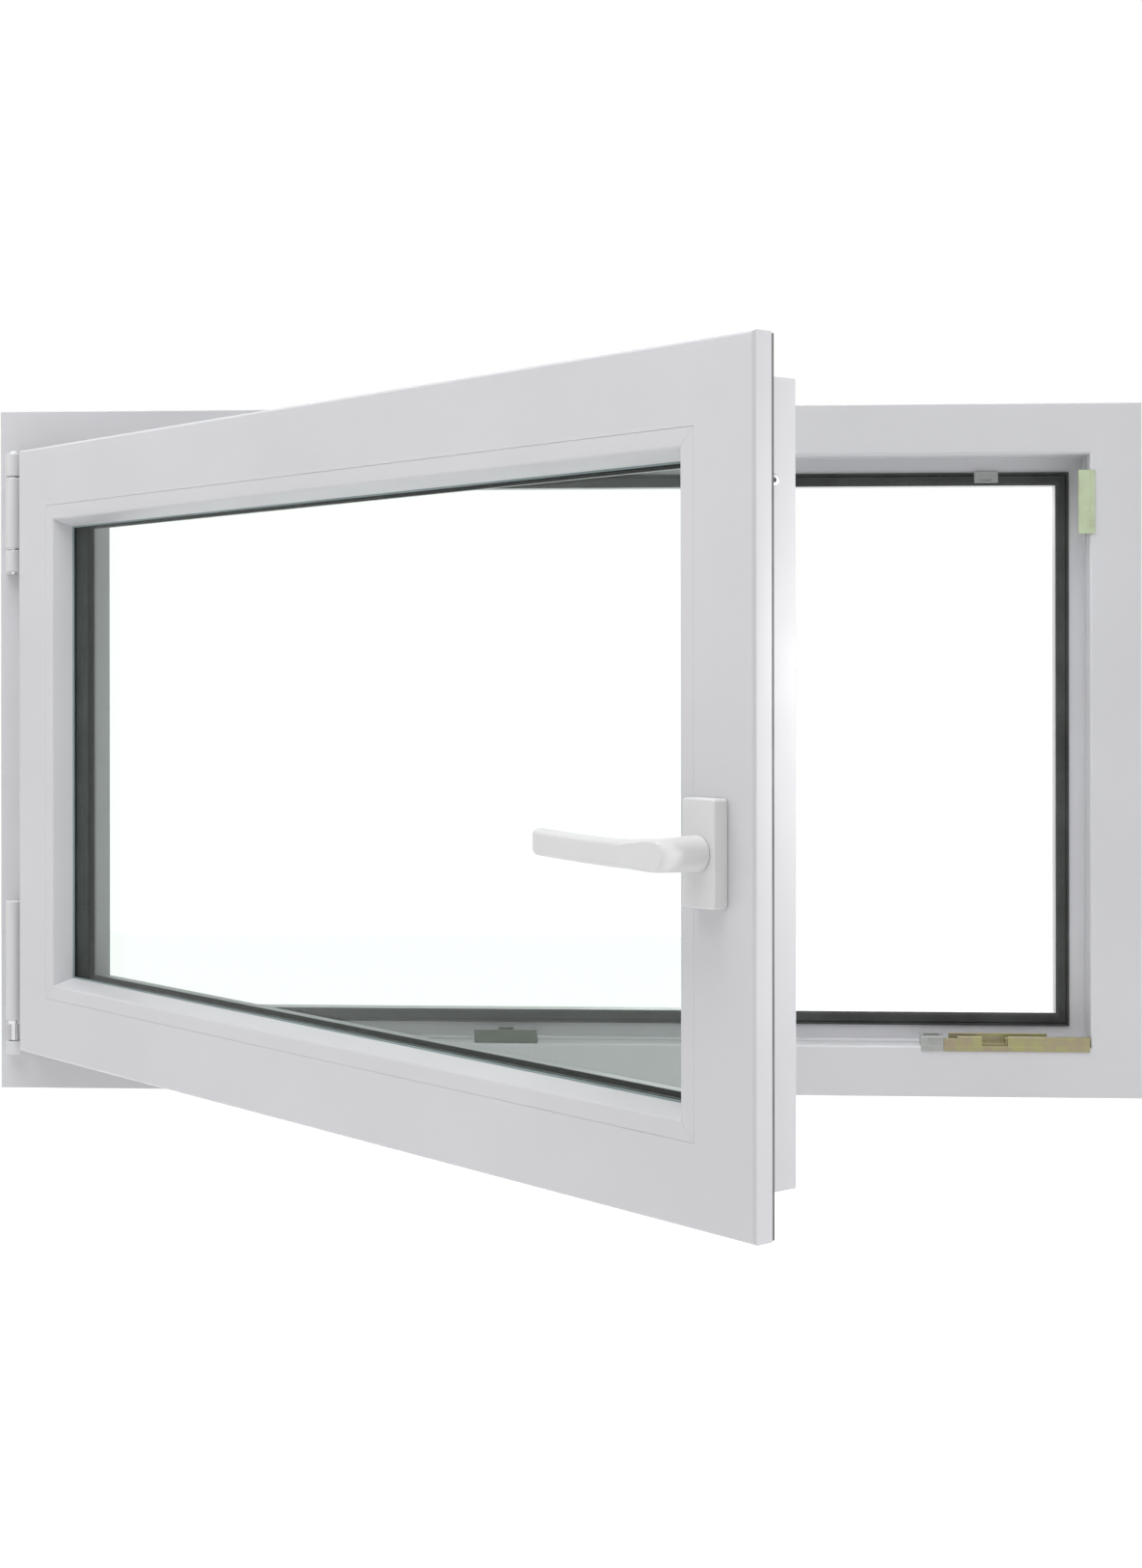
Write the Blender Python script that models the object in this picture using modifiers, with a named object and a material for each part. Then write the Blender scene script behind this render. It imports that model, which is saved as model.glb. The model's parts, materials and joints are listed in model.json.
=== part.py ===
"""A tilt-and-turn casement window in white uPVC, seen from the room, with its sash turned open.

Metres, +Z up, +X towards the lock side, +Y towards the outdoors. Every piece is placed in the
window's corner frame: x from the hinge-side edge of the outer frame, y from its room-side face
and z from its underside. The empty "window_origin" then carries that frame, so that the world
origin is the middle of the frame's underside. The sash is modelled shut, and the empty
"sash_turn_axis" turns it open.
"""

import math

import bmesh
import bpy
from mathutils import Matrix, Vector

# Outer frame
FRAME_WIDTH = 1.000
FRAME_HEIGHT = 0.600
FRAME_DEPTH = 0.060
FRAME_FACE = 0.044  # outer edge to the edge of the rebate
FRAME_CLEAR = 0.068  # outer edge to the clear opening, past the stop lip
STOP_Y = 0.040  # room-side plane of the stop lip

# Sash, measured shut
SASH_MARGIN = 0.038  # outer edge of the frame to the outer edge of the sash
SASH_FACE_Y = -0.019
SASH_DEPTH = 0.056
LIP_DEPTH = 0.015  # thickness of the lip that overlaps the frame
LIP_REACH = 0.022  # how far the lip stands beyond the sash body
REBATE_P = 0.051  # outer edge of the sash to the floor of the glazing rebate
BEAD_EDGE_P = 0.063  # outer edge of the sash to the front edge of the glazing beads
SIGHT_P = 0.069  # outer edge of the sash to the daylight opening
GLASS_P = 0.0565  # outer edge of the sash to the edge of the glass
LEG_T = 0.040  # depth at which the outer leg of the sash starts

# Glass unit, as depths behind the sash face
PANE = 0.004
BEAD_T = 0.0165
INNER_PANE_T = 0.0179
OUTER_PANE_T = 0.0344

# Fittings groove, as depths behind the sash face and places from the sash's outer edge
GROOVE_T = 0.028
FACEPLATE_WIDTH = 0.0154
FACEPLATE_LOW = 0.0227  # underside of the faceplates, as a depth below the sash body's edge
FACEPLATE_TOP = 0.0205
ROD_P = (0.0231, 0.026)
ROD_WIDTH = 0.008
CAM_TIP_P = 0.0115

# Joints
OPEN_ANGLE = math.radians(47.0)
AXIS_X = 0.016
AXIS_Y = -0.012
TILT_Z = 0.041
HANDLE_X = 0.9265
HANDLE_Z = 0.261
ROD_STROKE = 0.018  # for a quarter turn of the handle
PITCH_RADIUS = ROD_STROKE / (math.pi / 2)
PINION_TEETH = 12

GAP = 0.0003  # between pieces that touch
MITRE_GAP = 0.0002  # taken off each mitred end, along the member
ROUND = 32  # sides of a round piece

SASH_X = (SASH_MARGIN, FRAME_WIDTH - SASH_MARGIN)
SASH_Z = (SASH_MARGIN, FRAME_HEIGHT - SASH_MARGIN)
GROOVE_Y = SASH_FACE_Y + GROOVE_T


def clear_scene():
    for obj in list(bpy.data.objects):
        bpy.data.objects.remove(obj, do_unlink=True)


def new_collection(name):
    made = bpy.data.collections.new(name)
    bpy.context.scene.collection.children.link(made)
    return made


def new_material(name, colour, roughness, metallic=0.0, alpha=1.0):
    made = bpy.data.materials.new(name)
    made.use_nodes = True
    shader = made.node_tree.nodes["Principled BSDF"]
    shader.inputs["Base Color"].default_value = (*colour, 1.0)
    shader.inputs["Roughness"].default_value = roughness
    shader.inputs["Metallic"].default_value = metallic
    shader.inputs["Alpha"].default_value = alpha
    return made


clear_scene()
PARTS = new_collection("tilt_turn_window")
CUTTERS = new_collection("cutters")

UPVC = new_material("upvc_white", (0.80, 0.80, 0.82), 0.35)
COVER = new_material("cover_white", (0.84, 0.84, 0.84), 0.40)
HANDLE = new_material("handle_white", (0.85, 0.85, 0.85), 0.28)
SEAL_GREY = new_material("seal_grey", (0.16, 0.16, 0.17), 0.70)
SEAL_BLACK = new_material("seal_black", (0.025, 0.026, 0.025), 0.65)
GLASS = new_material("glass", (0.86, 0.93, 0.90), 0.03, alpha=0.3)
SPACER = new_material("spacer_grey", (0.35, 0.36, 0.36), 0.45, 0.8)
STEEL = new_material("steel_galvanised", (0.62, 0.63, 0.65), 0.42, 0.9)
ZINC = new_material("zinc_bright", (0.75, 0.76, 0.77), 0.30, 1.0)
CHROMATE = new_material("keeper_chromate", (0.55, 0.52, 0.28), 0.38, 0.9)
GREY_PLASTIC = new_material("grey_plastic", (0.55, 0.55, 0.56), 0.45)


def new_empty(name, place, parent=None):
    made = bpy.data.objects.new(name, None)
    PARTS.objects.link(made)
    if parent is None:
        made.location = place
    else:
        made.location = Vector(place) - Vector(parent["place"])
        made.parent = parent
    made["place"] = place
    return made


WINDOW = new_empty("window_origin", (-FRAME_WIDTH / 2, -FRAME_DEPTH / 2, 0.0))
WINDOW["place"] = (0.0, 0.0, 0.0)
SASH_TURN = new_empty("sash_turn_axis", (AXIS_X, AXIS_Y, TILT_Z), WINDOW)
SASH_TILT = new_empty("sash_tilt_axis", (AXIS_X, AXIS_Y, TILT_Z), SASH_TURN)
STAY_SWING = new_empty("stay_swing_axis", (AXIS_X, AXIS_Y, 0.508), SASH_TURN)
HANDLE_TURN = new_empty("handle_turn_axis", (HANDLE_X, SASH_FACE_Y, HANDLE_Z), SASH_TILT)
PINION_TURN = new_empty("pinion_turn_axis", (HANDLE_X, GROOVE_Y, HANDLE_Z), SASH_TILT)
SASH_TURN.rotation_euler.z = -OPEN_ANGLE


def add_object(name, mesh, material, parent):
    """A part, placed in the corner frame while its parent's joint stands as modelled."""
    made = bpy.data.objects.new(name, mesh)
    if material is None:
        CUTTERS.objects.link(made)
        made.hide_render = True
        made.display_type = "WIRE"
    else:
        PARTS.objects.link(made)
        mesh.materials.append(material)
    made.parent = parent
    made.matrix_parent_inverse = Matrix.Translation(-Vector(parent["place"]))
    return made


def box_mesh(name, low, high):
    """A box between two corners."""
    low, high = Vector(low), Vector(high)
    bm = bmesh.new()
    bmesh.ops.create_cube(bm, size=1.0)
    bmesh.ops.scale(bm, vec=high - low, verts=bm.verts)
    bmesh.ops.translate(bm, vec=(low + high) / 2, verts=bm.verts)
    mesh = bpy.data.meshes.new(name)
    bm.to_mesh(mesh)
    bm.free()
    return mesh


def box(name, low, high, material=None, parent=WINDOW):
    return add_object(name, box_mesh(name, low, high), material, parent)


def smooth_rounds(mesh):
    """Smooth shading over the rounds, and sharp edges where flat faces meet."""
    mesh.shade_smooth()
    mesh.set_sharp_from_angle(angle=math.radians(40))


AXIS_TURN = {
    "X": Matrix.Rotation(math.radians(90), 4, "Y"),
    "Y": Matrix.Rotation(math.radians(-90), 4, "X"),
    "Z": Matrix.Identity(4),
}


def rod(name, centre, radius, axis, ends, material=None, parent=WINDOW, sides=ROUND):
    """A round bar along one axis; centre gives its place, ends its reach along the axis."""
    bm = bmesh.new()
    bmesh.ops.create_cone(
        bm, cap_ends=True, segments=sides, radius1=radius, radius2=radius, depth=ends[1] - ends[0]
    )
    bmesh.ops.transform(bm, matrix=AXIS_TURN[axis], verts=bm.verts)
    middle = Vector(centre)
    middle["XYZ".index(axis)] = (ends[0] + ends[1]) / 2
    bmesh.ops.translate(bm, vec=middle, verts=bm.verts)
    mesh = bpy.data.meshes.new(name)
    bm.to_mesh(mesh)
    bm.free()
    smooth_rounds(mesh)
    return add_object(name, mesh, material, parent)


def ball(name, centre, radius, parent):
    """A helper ball whose poles lie on the Y axis through its centre."""
    bm = bmesh.new()
    bmesh.ops.create_uvsphere(bm, u_segments=ROUND, v_segments=ROUND // 2, radius=radius)
    bmesh.ops.transform(bm, matrix=AXIS_TURN["Y"], verts=bm.verts)
    bmesh.ops.translate(bm, vec=centre, verts=bm.verts)
    mesh = bpy.data.meshes.new(name)
    bm.to_mesh(mesh)
    bm.free()
    return add_object(name, mesh, None, parent)


def turned(name, centre, profile, material, parent):
    """A body of revolution about the vertical through centre; profile is (radius, height)."""
    mesh = bpy.data.meshes.new(name)
    points = [(radius, 0.0, height) for radius, height in profile]
    mesh.from_pydata(points, [(i, i + 1) for i in range(len(points) - 1)], [])
    made = add_object(name, mesh, material, parent)
    made.location = (centre[0], centre[1], 0.0)
    screw = made.modifiers.new("turn", "SCREW")
    screw.steps = screw.render_steps = ROUND
    screw.use_merge_vertices = True
    screw.merge_threshold = 1e-5
    return made


def arc(centre, radius, start, end, steps):
    """Points along an arc, angles in degrees, both ends included."""
    turns = [math.radians(start + (end - start) * i / steps) for i in range(steps + 1)]
    return [(centre[0] + radius * math.cos(a), centre[1] + radius * math.sin(a)) for a in turns]


def rounded(corners, steps=3):
    """An outline from (x, y, radius) corners, each rounded by an arc of its radius."""
    points = []
    for i, (x, y, radius) in enumerate(corners):
        here = Vector((x, y))
        before = (Vector(corners[i - 1][:2]) - here).normalized()
        after = (Vector(corners[(i + 1) % len(corners)][:2]) - here).normalized()
        if radius == 0.0:
            points.append((x, y))
            continue
        half = before.angle(after) / 2
        reach = radius / math.tan(half)
        centre = here + (before + after).normalized() * (radius / math.sin(half))
        first = here + before * reach - centre
        turn = first.angle_signed(here + after * reach - centre)
        for step in range(steps + 1):
            spoke = first.copy()
            spoke.rotate(Matrix.Rotation(-turn * step / steps, 2))
            points.append(tuple(centre + spoke))
    return points


def extruded_mesh(name, outlines, length):
    """A flat outline, with its holes, extruded along local Z to both sides of its plane."""
    curve = bpy.data.curves.new(name, "CURVE")
    curve.dimensions = "2D"
    curve.fill_mode = "BOTH"
    curve.extrude = length / 2
    for outline in outlines:
        spline = curve.splines.new("POLY")
        spline.points.add(len(outline) - 1)
        for point, (x, y) in zip(spline.points, outline):
            point.co = (x, y, 0.0, 1.0)
        spline.use_cyclic_u = True
    carrier = bpy.data.objects.new(name, curve)
    bpy.context.scene.collection.objects.link(carrier)
    graph = bpy.context.evaluated_depsgraph_get()
    mesh = bpy.data.meshes.new_from_object(carrier.evaluated_get(graph))
    bpy.data.objects.remove(carrier, do_unlink=True)
    mesh.name = name
    mesh.materials.clear()
    bm = bmesh.new()
    bm.from_mesh(mesh)
    bmesh.ops.remove_doubles(bm, verts=bm.verts, dist=1e-6)
    bmesh.ops.recalc_face_normals(bm, faces=bm.faces)
    bm.to_mesh(mesh)
    bm.free()
    smooth_rounds(mesh)
    return mesh


PLANE_AXES = {  # plane of the outline: (outline x, outline y, direction of the extrusion)
    "XZ": (Vector((1, 0, 0)), Vector((0, 0, 1)), Vector((0, -1, 0))),
    "YZ": (Vector((0, 1, 0)), Vector((0, 0, 1)), Vector((1, 0, 0))),
    "XY": (Vector((1, 0, 0)), Vector((0, 1, 0)), Vector((0, 0, 1))),
}


def plate(name, plane, outlines, ends, material=None, parent=WINDOW):
    """A flat outline in a world plane, extruded between two places across that plane."""
    across, up, away = PLANE_AXES[plane]
    mesh = extruded_mesh(name, outlines, abs(ends[1] - ends[0]))
    middle = Vector(abs(c) for c in away) * ((ends[0] + ends[1]) / 2)
    mesh.transform(Matrix((across, up, away)).transposed().to_4x4())
    mesh.transform(Matrix.Translation(middle))
    return add_object(name, mesh, material, parent)


SIDES = {  # side: (direction inwards, direction along the member)
    "sill": (Vector((0, 0, 1)), Vector((-1, 0, 0))),
    "head": (Vector((0, 0, -1)), Vector((1, 0, 0))),
    "hinge": (Vector((1, 0, 0)), Vector((0, 0, 1))),
    "lock": (Vector((-1, 0, 0)), Vector((0, 0, -1))),
}


def member(name, side, section, x_range, z_range, face_y, material, parent, square_end=None):
    """One side of a mitred ring. The section is drawn as (distance inwards, depth).

    With square_end the member is cut square, that far from each outer corner of the ring.
    """
    inwards, along = SIDES[side]
    span = x_range if along.x else z_range
    length = span[1] - span[0]
    middle = Vector((sum(x_range) / 2, face_y, sum(z_range) / 2))
    across = z_range if along.x else x_range
    outer_edge = middle - inwards * (across[1] - across[0]) / 2
    mesh = extruded_mesh(name, section, length)
    for vertex in mesh.vertices:
        inset = vertex.co.x + MITRE_GAP if square_end is None else square_end
        vertex.co.z -= math.copysign(inset, vertex.co.z)
    mesh.transform(Matrix((inwards, Vector((0, 1, 0)), along)).transposed().to_4x4())
    mesh.transform(Matrix.Translation(outer_edge))
    return add_object(name, mesh, material, parent)


def rectangle(x_range, y_range):
    return [
        (x_range[0], y_range[0]),
        (x_range[1], y_range[0]),
        (x_range[1], y_range[1]),
        (x_range[0], y_range[1]),
    ]


def inset_rectangle(inset, x_range=SASH_X, z_range=SASH_Z):
    """The rectangle that lies this far inside the sash's outer edge."""
    return rectangle(
        (x_range[0] + inset, x_range[1] - inset), (z_range[0] + inset, z_range[1] - inset)
    )


def ring(name, insets, depths, material, parent):
    """A flat ring around the glass, between two insets from the sash's outer edge."""
    y_range = [SASH_FACE_Y + depth for depth in depths]
    outlines = [inset_rectangle(inset) for inset in insets]
    return plate(name, "XZ", outlines, y_range, material, parent)


def boolean(target, tool, operation):
    modifier = target.modifiers.new(tool.name, "BOOLEAN")
    modifier.operation = operation
    modifier.solver = "EXACT"
    modifier.object = tool
    return target


def cut(target, *tools):
    for tool in tools:
        boolean(target, tool, "DIFFERENCE")
    return target


def join(target, *tools):
    for tool in tools:
        boolean(target, tool, "UNION")
    return target


def bevel(target, width, segments=2):
    modifier = target.modifiers.new("bevel", "BEVEL")
    modifier.width = width
    modifier.segments = segments
    modifier.limit_method = "ANGLE"
    return target


# ---------------------------------------------------------------- outer frame


def frame_section():
    """Outline of the outer frame's profile and its two chambers."""
    outline = rounded(
        [
            (0.0, 0.0, 0.001),
            (FRAME_FACE, 0.0, 0.003),
            (FRAME_FACE, 0.021, 0.0),
            (0.041, 0.021, 0.0),
            (0.041, 0.025, 0.0),
            (FRAME_FACE, 0.025, 0.0),
            (FRAME_FACE, STOP_Y, 0.0),
            (FRAME_CLEAR, STOP_Y, 0.0015),
            (FRAME_CLEAR, FRAME_DEPTH, 0.0025),
            (0.0, FRAME_DEPTH, 0.001),
        ]
    )
    main_chamber = rectangle((0.004, 0.038), (0.004, 0.0375))
    rear_chamber = rectangle((0.004, 0.0645), (0.0435, 0.057))
    return [outline, main_chamber, rear_chamber]


def build_frame():
    x_range, z_range = (0.0, FRAME_WIDTH), (0.0, FRAME_HEIGHT)
    names = {
        "head": "frame_head",
        "sill": "frame_sill",
        "hinge": "frame_jamb_hinge",
        "lock": "frame_jamb_lock",
    }
    for side, name in names.items():
        member(name, side, frame_section(), x_range, z_range, 0.0, UPVC, WINDOW)
    channel = [
        (0.006, 0.0065),
        (0.036, 0.0065),
        (0.036, 0.0085),
        (0.008, 0.0085),
        (0.008, 0.0335),
        (0.036, 0.0335),
        (0.036, 0.0355),
        (0.006, 0.0355),
    ]
    for side in ("head", "sill"):
        member(
            f"frame_steel_{side}", side, [channel], x_range, z_range, 0.0, STEEL, WINDOW, 0.052
        )


GASKET_OUT = 0.0565  # outer edge of the stop gasket, from the frame's outer edge
GASKET_Y = (0.0374, STOP_Y - GAP)
VENT_X = (0.861, 0.882)
VENT_Z = (0.5343, 0.5445)


def build_frame_gasket():
    x_range, z_range = (0.0, FRAME_WIDTH), (0.0, FRAME_HEIGHT)
    outlines = [
        inset_rectangle(GASKET_OUT, x_range, z_range),
        inset_rectangle(FRAME_CLEAR, x_range, z_range),
    ]
    gasket = plate("frame_stop_gasket", "XZ", outlines, GASKET_Y, SEAL_BLACK)
    notch = box(
        "vent_notch",
        (VENT_X[0] - GAP, GASKET_Y[0] - 0.001, VENT_Z[0] - GAP),
        (VENT_X[1] + GAP, GASKET_Y[1] + 0.001, VENT_Z[1] + GAP),
    )
    cut(gasket, notch)
    box(
        "head_vent_clip",
        (VENT_X[0], GASKET_Y[0], VENT_Z[0]),
        (VENT_X[1], GASKET_Y[1], VENT_Z[1]),
        GREY_PLASTIC,
    )


DRAIN_WIDTH = 0.036
DRAIN_Z = (0.016, 0.030)


def build_drain_caps():
    """Caps over the drainage slots, low on the weather side of the sill."""
    sill = bpy.data.objects["frame_sill"]
    for name, x in (("drain_cap_hinge", 0.22), ("drain_cap_lock", 0.78)):
        face = FRAME_DEPTH + GAP
        cap = box(
            name,
            (x - DRAIN_WIDTH / 2, face, DRAIN_Z[0]),
            (x + DRAIN_WIDTH / 2, face + 0.005, DRAIN_Z[1]),
            COVER,
        )
        bevel(cap, 0.0015)
        slot = box(
            f"{name}_slot",
            (x - 0.0125, FRAME_DEPTH - 0.006, 0.0195),
            (x + 0.0125, FRAME_DEPTH + 0.003, 0.0245),
        )
        cut(sill, slot)


# ---------------------------------------------------------------- keepers on the frame

KEEPER_Y = (0.0007, 0.0190)
KEEPER_WALL_Y = (0.0010, 0.0031)
KEEPER_BACK_Y = (0.0165, 0.0188)
KEEPER_BASE = 0.0018
FLANGE_Y = (-0.0012, -GAP)
FLANGE_DROP = 0.0044  # how far a front flange laps over the face of the frame


def on_side(name, side, along, height, depth, material=None):
    """A box on the rebate of one side of the frame: along it, up from it, and in depth."""
    if side == "lock":
        edge = FRAME_WIDTH - FRAME_FACE
        low = (edge - height[1], depth[0], along[0])
        high = (edge - height[0], depth[1], along[1])
    elif side == "head":
        edge = FRAME_HEIGHT - FRAME_FACE
        low = (along[0], depth[0], edge - height[1])
        high = (along[1], depth[1], edge - height[0])
    else:
        low = (along[0], depth[0], FRAME_FACE + height[0])
        high = (along[1], depth[1], FRAME_FACE + height[1])
    return box(name, low, high, material)


def build_keeper(name, side, span, walls, ledge, flanged):
    """A screwed-on keeper: a base plate, stretches of wall on the room side and a rear ledge.

    Each wall and the ledge is (start, end, height). A flanged keeper also laps over the edge of
    the frame and down its face.
    """
    keeper = on_side(name, side, span, (GAP, KEEPER_BASE), KEEPER_Y, CHROMATE)
    back = on_side(f"{name}_ledge", side, ledge[:2], (0.0010, ledge[2]), KEEPER_BACK_Y)
    join(keeper, back)
    front = FLANGE_Y[0] if flanged else KEEPER_WALL_Y[0]
    for i, (start, end, height) in enumerate(walls):
        depth = (front, KEEPER_WALL_Y[1])
        wall = on_side(f"{name}_wall_{i}", side, (start, end), (0.0007, height), depth)
        join(keeper, wall)
    if flanged:
        reach = (span[0] + 0.0006, span[1] - 0.0006)
        flange = on_side(f"{name}_flange", side, reach, (-FLANGE_DROP, 0.0030), FLANGE_Y)
        lap = on_side(f"{name}_lap", side, reach, (0.0005, 0.0015), (-0.0009, 0.0030))
        join(keeper, flange, lap)
    return keeper


def build_keepers():
    build_keeper(
        "jamb_keeper", "lock", (0.487, 0.542), [(0.4873, 0.5417, 0.0097)], (0.488, 0.541, 0.0060), True
    )
    build_keeper(
        "head_keeper",
        "head",
        (0.555, 0.592),
        [(0.5553, 0.5740, 0.0100), (0.5735, 0.5917, 0.0047)],
        (0.556, 0.591, 0.0047),
        False,
    )
    build_keeper(
        "sill_keeper", "sill", (0.424, 0.479), [(0.4243, 0.4787, 0.0112)], (0.444, 0.457, 0.0112), False
    )
    build_keeper(
        "tilt_keeper",
        "sill",
        (0.8305, 0.9555),
        [(0.8308, 0.8632, 0.0083), (0.8852, 0.9552, 0.0083)],
        (0.8360, 0.9210, 0.0090),
        True,
    )
    span, depth = (0.811, 0.8302), (FLANGE_Y[0], KEEPER_Y[1])
    end = on_side("tilt_keeper_end", "sill", span, (GAP, 0.0086), depth, GREY_PLASTIC)
    drop = on_side("keeper_end_drop", "sill", (0.8115, 0.8297), (-FLANGE_DROP, 0.0030), FLANGE_Y)
    join(end, drop)


# ---------------------------------------------------------------- sash


def sash_section():
    """Outline of the sash profile, with its fittings groove, and its three chambers."""
    outline = rounded(
        [
            (0.0, 0.0, 0.003),
            (REBATE_P, 0.0, 0.0005),
            (REBATE_P, LEG_T, 0.0),
            (SIGHT_P, LEG_T, 0.003),
            (SIGHT_P, SASH_DEPTH, 0.0025),
            (LIP_REACH, SASH_DEPTH, 0.001),
            (LIP_REACH, 0.036, 0.0),
            (0.023, 0.036, 0.0),
            (0.023, 0.033, 0.0),
            (0.032, 0.033, 0.0),
            (0.032, 0.023, 0.0),
            (0.023, 0.023, 0.0),
            (0.023, 0.020, 0.0),
            (LIP_REACH, 0.020, 0.0),
            (LIP_REACH, LIP_DEPTH, 0.0),
            (0.0, LIP_DEPTH, 0.001),
        ]
    )
    front_chamber = rectangle((0.004, 0.032), (0.004, 0.0115))
    main_chamber = rectangle((0.035, 0.048), (0.004, 0.0365))
    rear_chamber = rectangle((0.0255, 0.065), (0.0435, 0.053))
    return [outline, front_chamber, main_chamber, rear_chamber]


def build_sash():
    names = {
        "head": "sash_rail_top",
        "sill": "sash_rail_bottom",
        "hinge": "sash_stile_hinge",
        "lock": "sash_stile_lock",
    }
    for side, name in names.items():
        member(name, side, sash_section(), SASH_X, SASH_Z, SASH_FACE_Y, UPVC, SASH_TILT)
    channel = [
        (0.0365, 0.0055),
        (0.0465, 0.0055),
        (0.0465, 0.0070),
        (0.0380, 0.0070),
        (0.0380, 0.0330),
        (0.0465, 0.0330),
        (0.0465, 0.0345),
        (0.0365, 0.0345),
    ]
    for side, name in (("head", "sash_steel_top"), ("sill", "sash_steel_bottom")):
        member(name, side, [channel], SASH_X, SASH_Z, SASH_FACE_Y, STEEL, SASH_TILT, 0.056)
    cut(bpy.data.objects["sash_stile_lock"], *lock_stile_cutters())


SCREW_PITCH = 0.043
GEARBOX_X = (0.9127, 0.9358)
GEARBOX_Y = (0.0022, 0.0158)
GEARBOX_Z = (HANDLE_Z - 0.040, HANDLE_Z + 0.040)


def lock_stile_cutters():
    """The milled pocket for the gearbox, and the bores for the spindle and the two screws."""
    pocket = box(
        "gearbox_pocket",
        (GEARBOX_X[0] - GAP, GEARBOX_Y[0] - GAP, GEARBOX_Z[0] - GAP),
        (0.9445, GEARBOX_Y[1] + GAP, GEARBOX_Z[1] + GAP),
        parent=SASH_TILT,
    )
    reach = (SASH_FACE_Y - 0.005, GEARBOX_Y[0] + 0.001)
    tools = [pocket]
    for name, rise, radius in (
        ("spindle_bore", 0.0, 0.0065),
        ("upper_screw_bore", SCREW_PITCH / 2, 0.0029),
        ("lower_screw_bore", -SCREW_PITCH / 2, 0.0029),
    ):
        centre = (HANDLE_X, 0.0, HANDLE_Z + rise)
        tools.append(rod(name, centre, radius, "Y", reach, parent=SASH_TILT))
    return tools


SASH_GASKET_P = (0.0008, 0.0090)
SASH_GASKET_T = (LIP_DEPTH + GAP, 0.0175)
LOWER_STRAP_Z = (0.059, 0.165)
STAY_STRAP_Z = (0.500, 0.551)


def build_sash_gaskets():
    """The overlap gasket stops beside the two hinges, whose straps pass behind the lip."""
    y_range = [SASH_FACE_Y + t for t in SASH_GASKET_T]
    main = ring("sash_gasket", SASH_GASKET_P, SASH_GASKET_T, SEAL_GREY, SASH_TILT)
    edge = (SASH_X[0] - 0.001, SASH_X[0] + SASH_GASKET_P[1] + GAP)
    opening = box(
        "hinge_side_opening",
        (edge[0], y_range[0] - 0.001, LOWER_STRAP_Z[0] - 0.002),
        (edge[1], y_range[1] + 0.001, STAY_STRAP_Z[1] + 0.001),
        parent=SASH_TILT,
    )
    cut(main, opening)
    box(
        "sash_gasket_hinge",
        (SASH_X[0] + SASH_GASKET_P[0], y_range[0], LOWER_STRAP_Z[1] + 0.002),
        (SASH_X[0] + SASH_GASKET_P[1], y_range[1], STAY_STRAP_Z[0] - 0.002),
        SEAL_GREY,
        SASH_TILT,
    )


def build_beads():
    """Glazing beads: a flat front, a long slope down to the glass and a foot in the rebate."""
    start = REBATE_P + GAP
    section = rounded(
        [
            (start, 0.0003, 0.0003),
            (BEAD_EDGE_P, 0.0003, 0.0015),
            (SIGHT_P, BEAD_T - 0.0008, 0.0005),
            (SIGHT_P, BEAD_T, 0.0),
            (0.0560, BEAD_T, 0.0),
            (0.0560, BEAD_T + 0.003, 0.0),
            (start, BEAD_T + 0.003, 0.0),
        ]
    )
    names = {
        "head": "glazing_bead_top",
        "sill": "glazing_bead_bottom",
        "hinge": "glazing_bead_hinge",
        "lock": "glazing_bead_lock",
    }
    for side, name in names.items():
        member(name, side, [section], SASH_X, SASH_Z, SASH_FACE_Y, UPVC, SASH_TILT)


def build_glazing():
    glass_x = (SASH_X[0] + GLASS_P, SASH_X[1] - GLASS_P)
    glass_z = (SASH_Z[0] + GLASS_P, SASH_Z[1] - GLASS_P)
    for name, depth in (("glass_pane_inner", INNER_PANE_T), ("glass_pane_outer", OUTER_PANE_T)):
        y = SASH_FACE_Y + depth
        box(name, (glass_x[0], y, glass_z[0]), (glass_x[1], y + PANE, glass_z[1]), GLASS, SASH_TILT)
    between = (INNER_PANE_T + PANE + GAP, OUTER_PANE_T - GAP)
    ring("glass_edge_seal", (GLASS_P + GAP, 0.0608), between, SEAL_BLACK, SASH_TILT)
    ring("glass_spacer", (0.0611, 0.0680), between, SPACER, SASH_TILT)
    front = (BEAD_T + GAP, INNER_PANE_T - GAP)
    back = (OUTER_PANE_T + PANE + GAP, LEG_T - GAP)
    ring("glazing_gasket_inner", (0.0600, 0.0702), front, SEAL_BLACK, SASH_TILT)
    ring("glazing_gasket_outer", (0.0600, 0.0705), back, SEAL_BLACK, SASH_TILT)
    for name, x in (("setting_block_hinge", 0.175), ("setting_block_lock", 0.825)):
        box(
            name,
            (x - 0.040, SASH_FACE_Y + BEAD_T + 0.0035, SASH_Z[0] + REBATE_P + GAP),
            (x + 0.040, SASH_FACE_Y + 0.0385, SASH_Z[0] + GLASS_P - GAP),
            GREY_PLASTIC,
            SASH_TILT,
        )


# ---------------------------------------------------------------- hinges

BALL_RADIUS = 0.0037
SEAT_RADIUS = 0.0040
COVER_RADIUS = 0.0076
SLEEVE_RADIUS = 0.0058
AXIS = (AXIS_X, AXIS_Y, 0.0)


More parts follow.
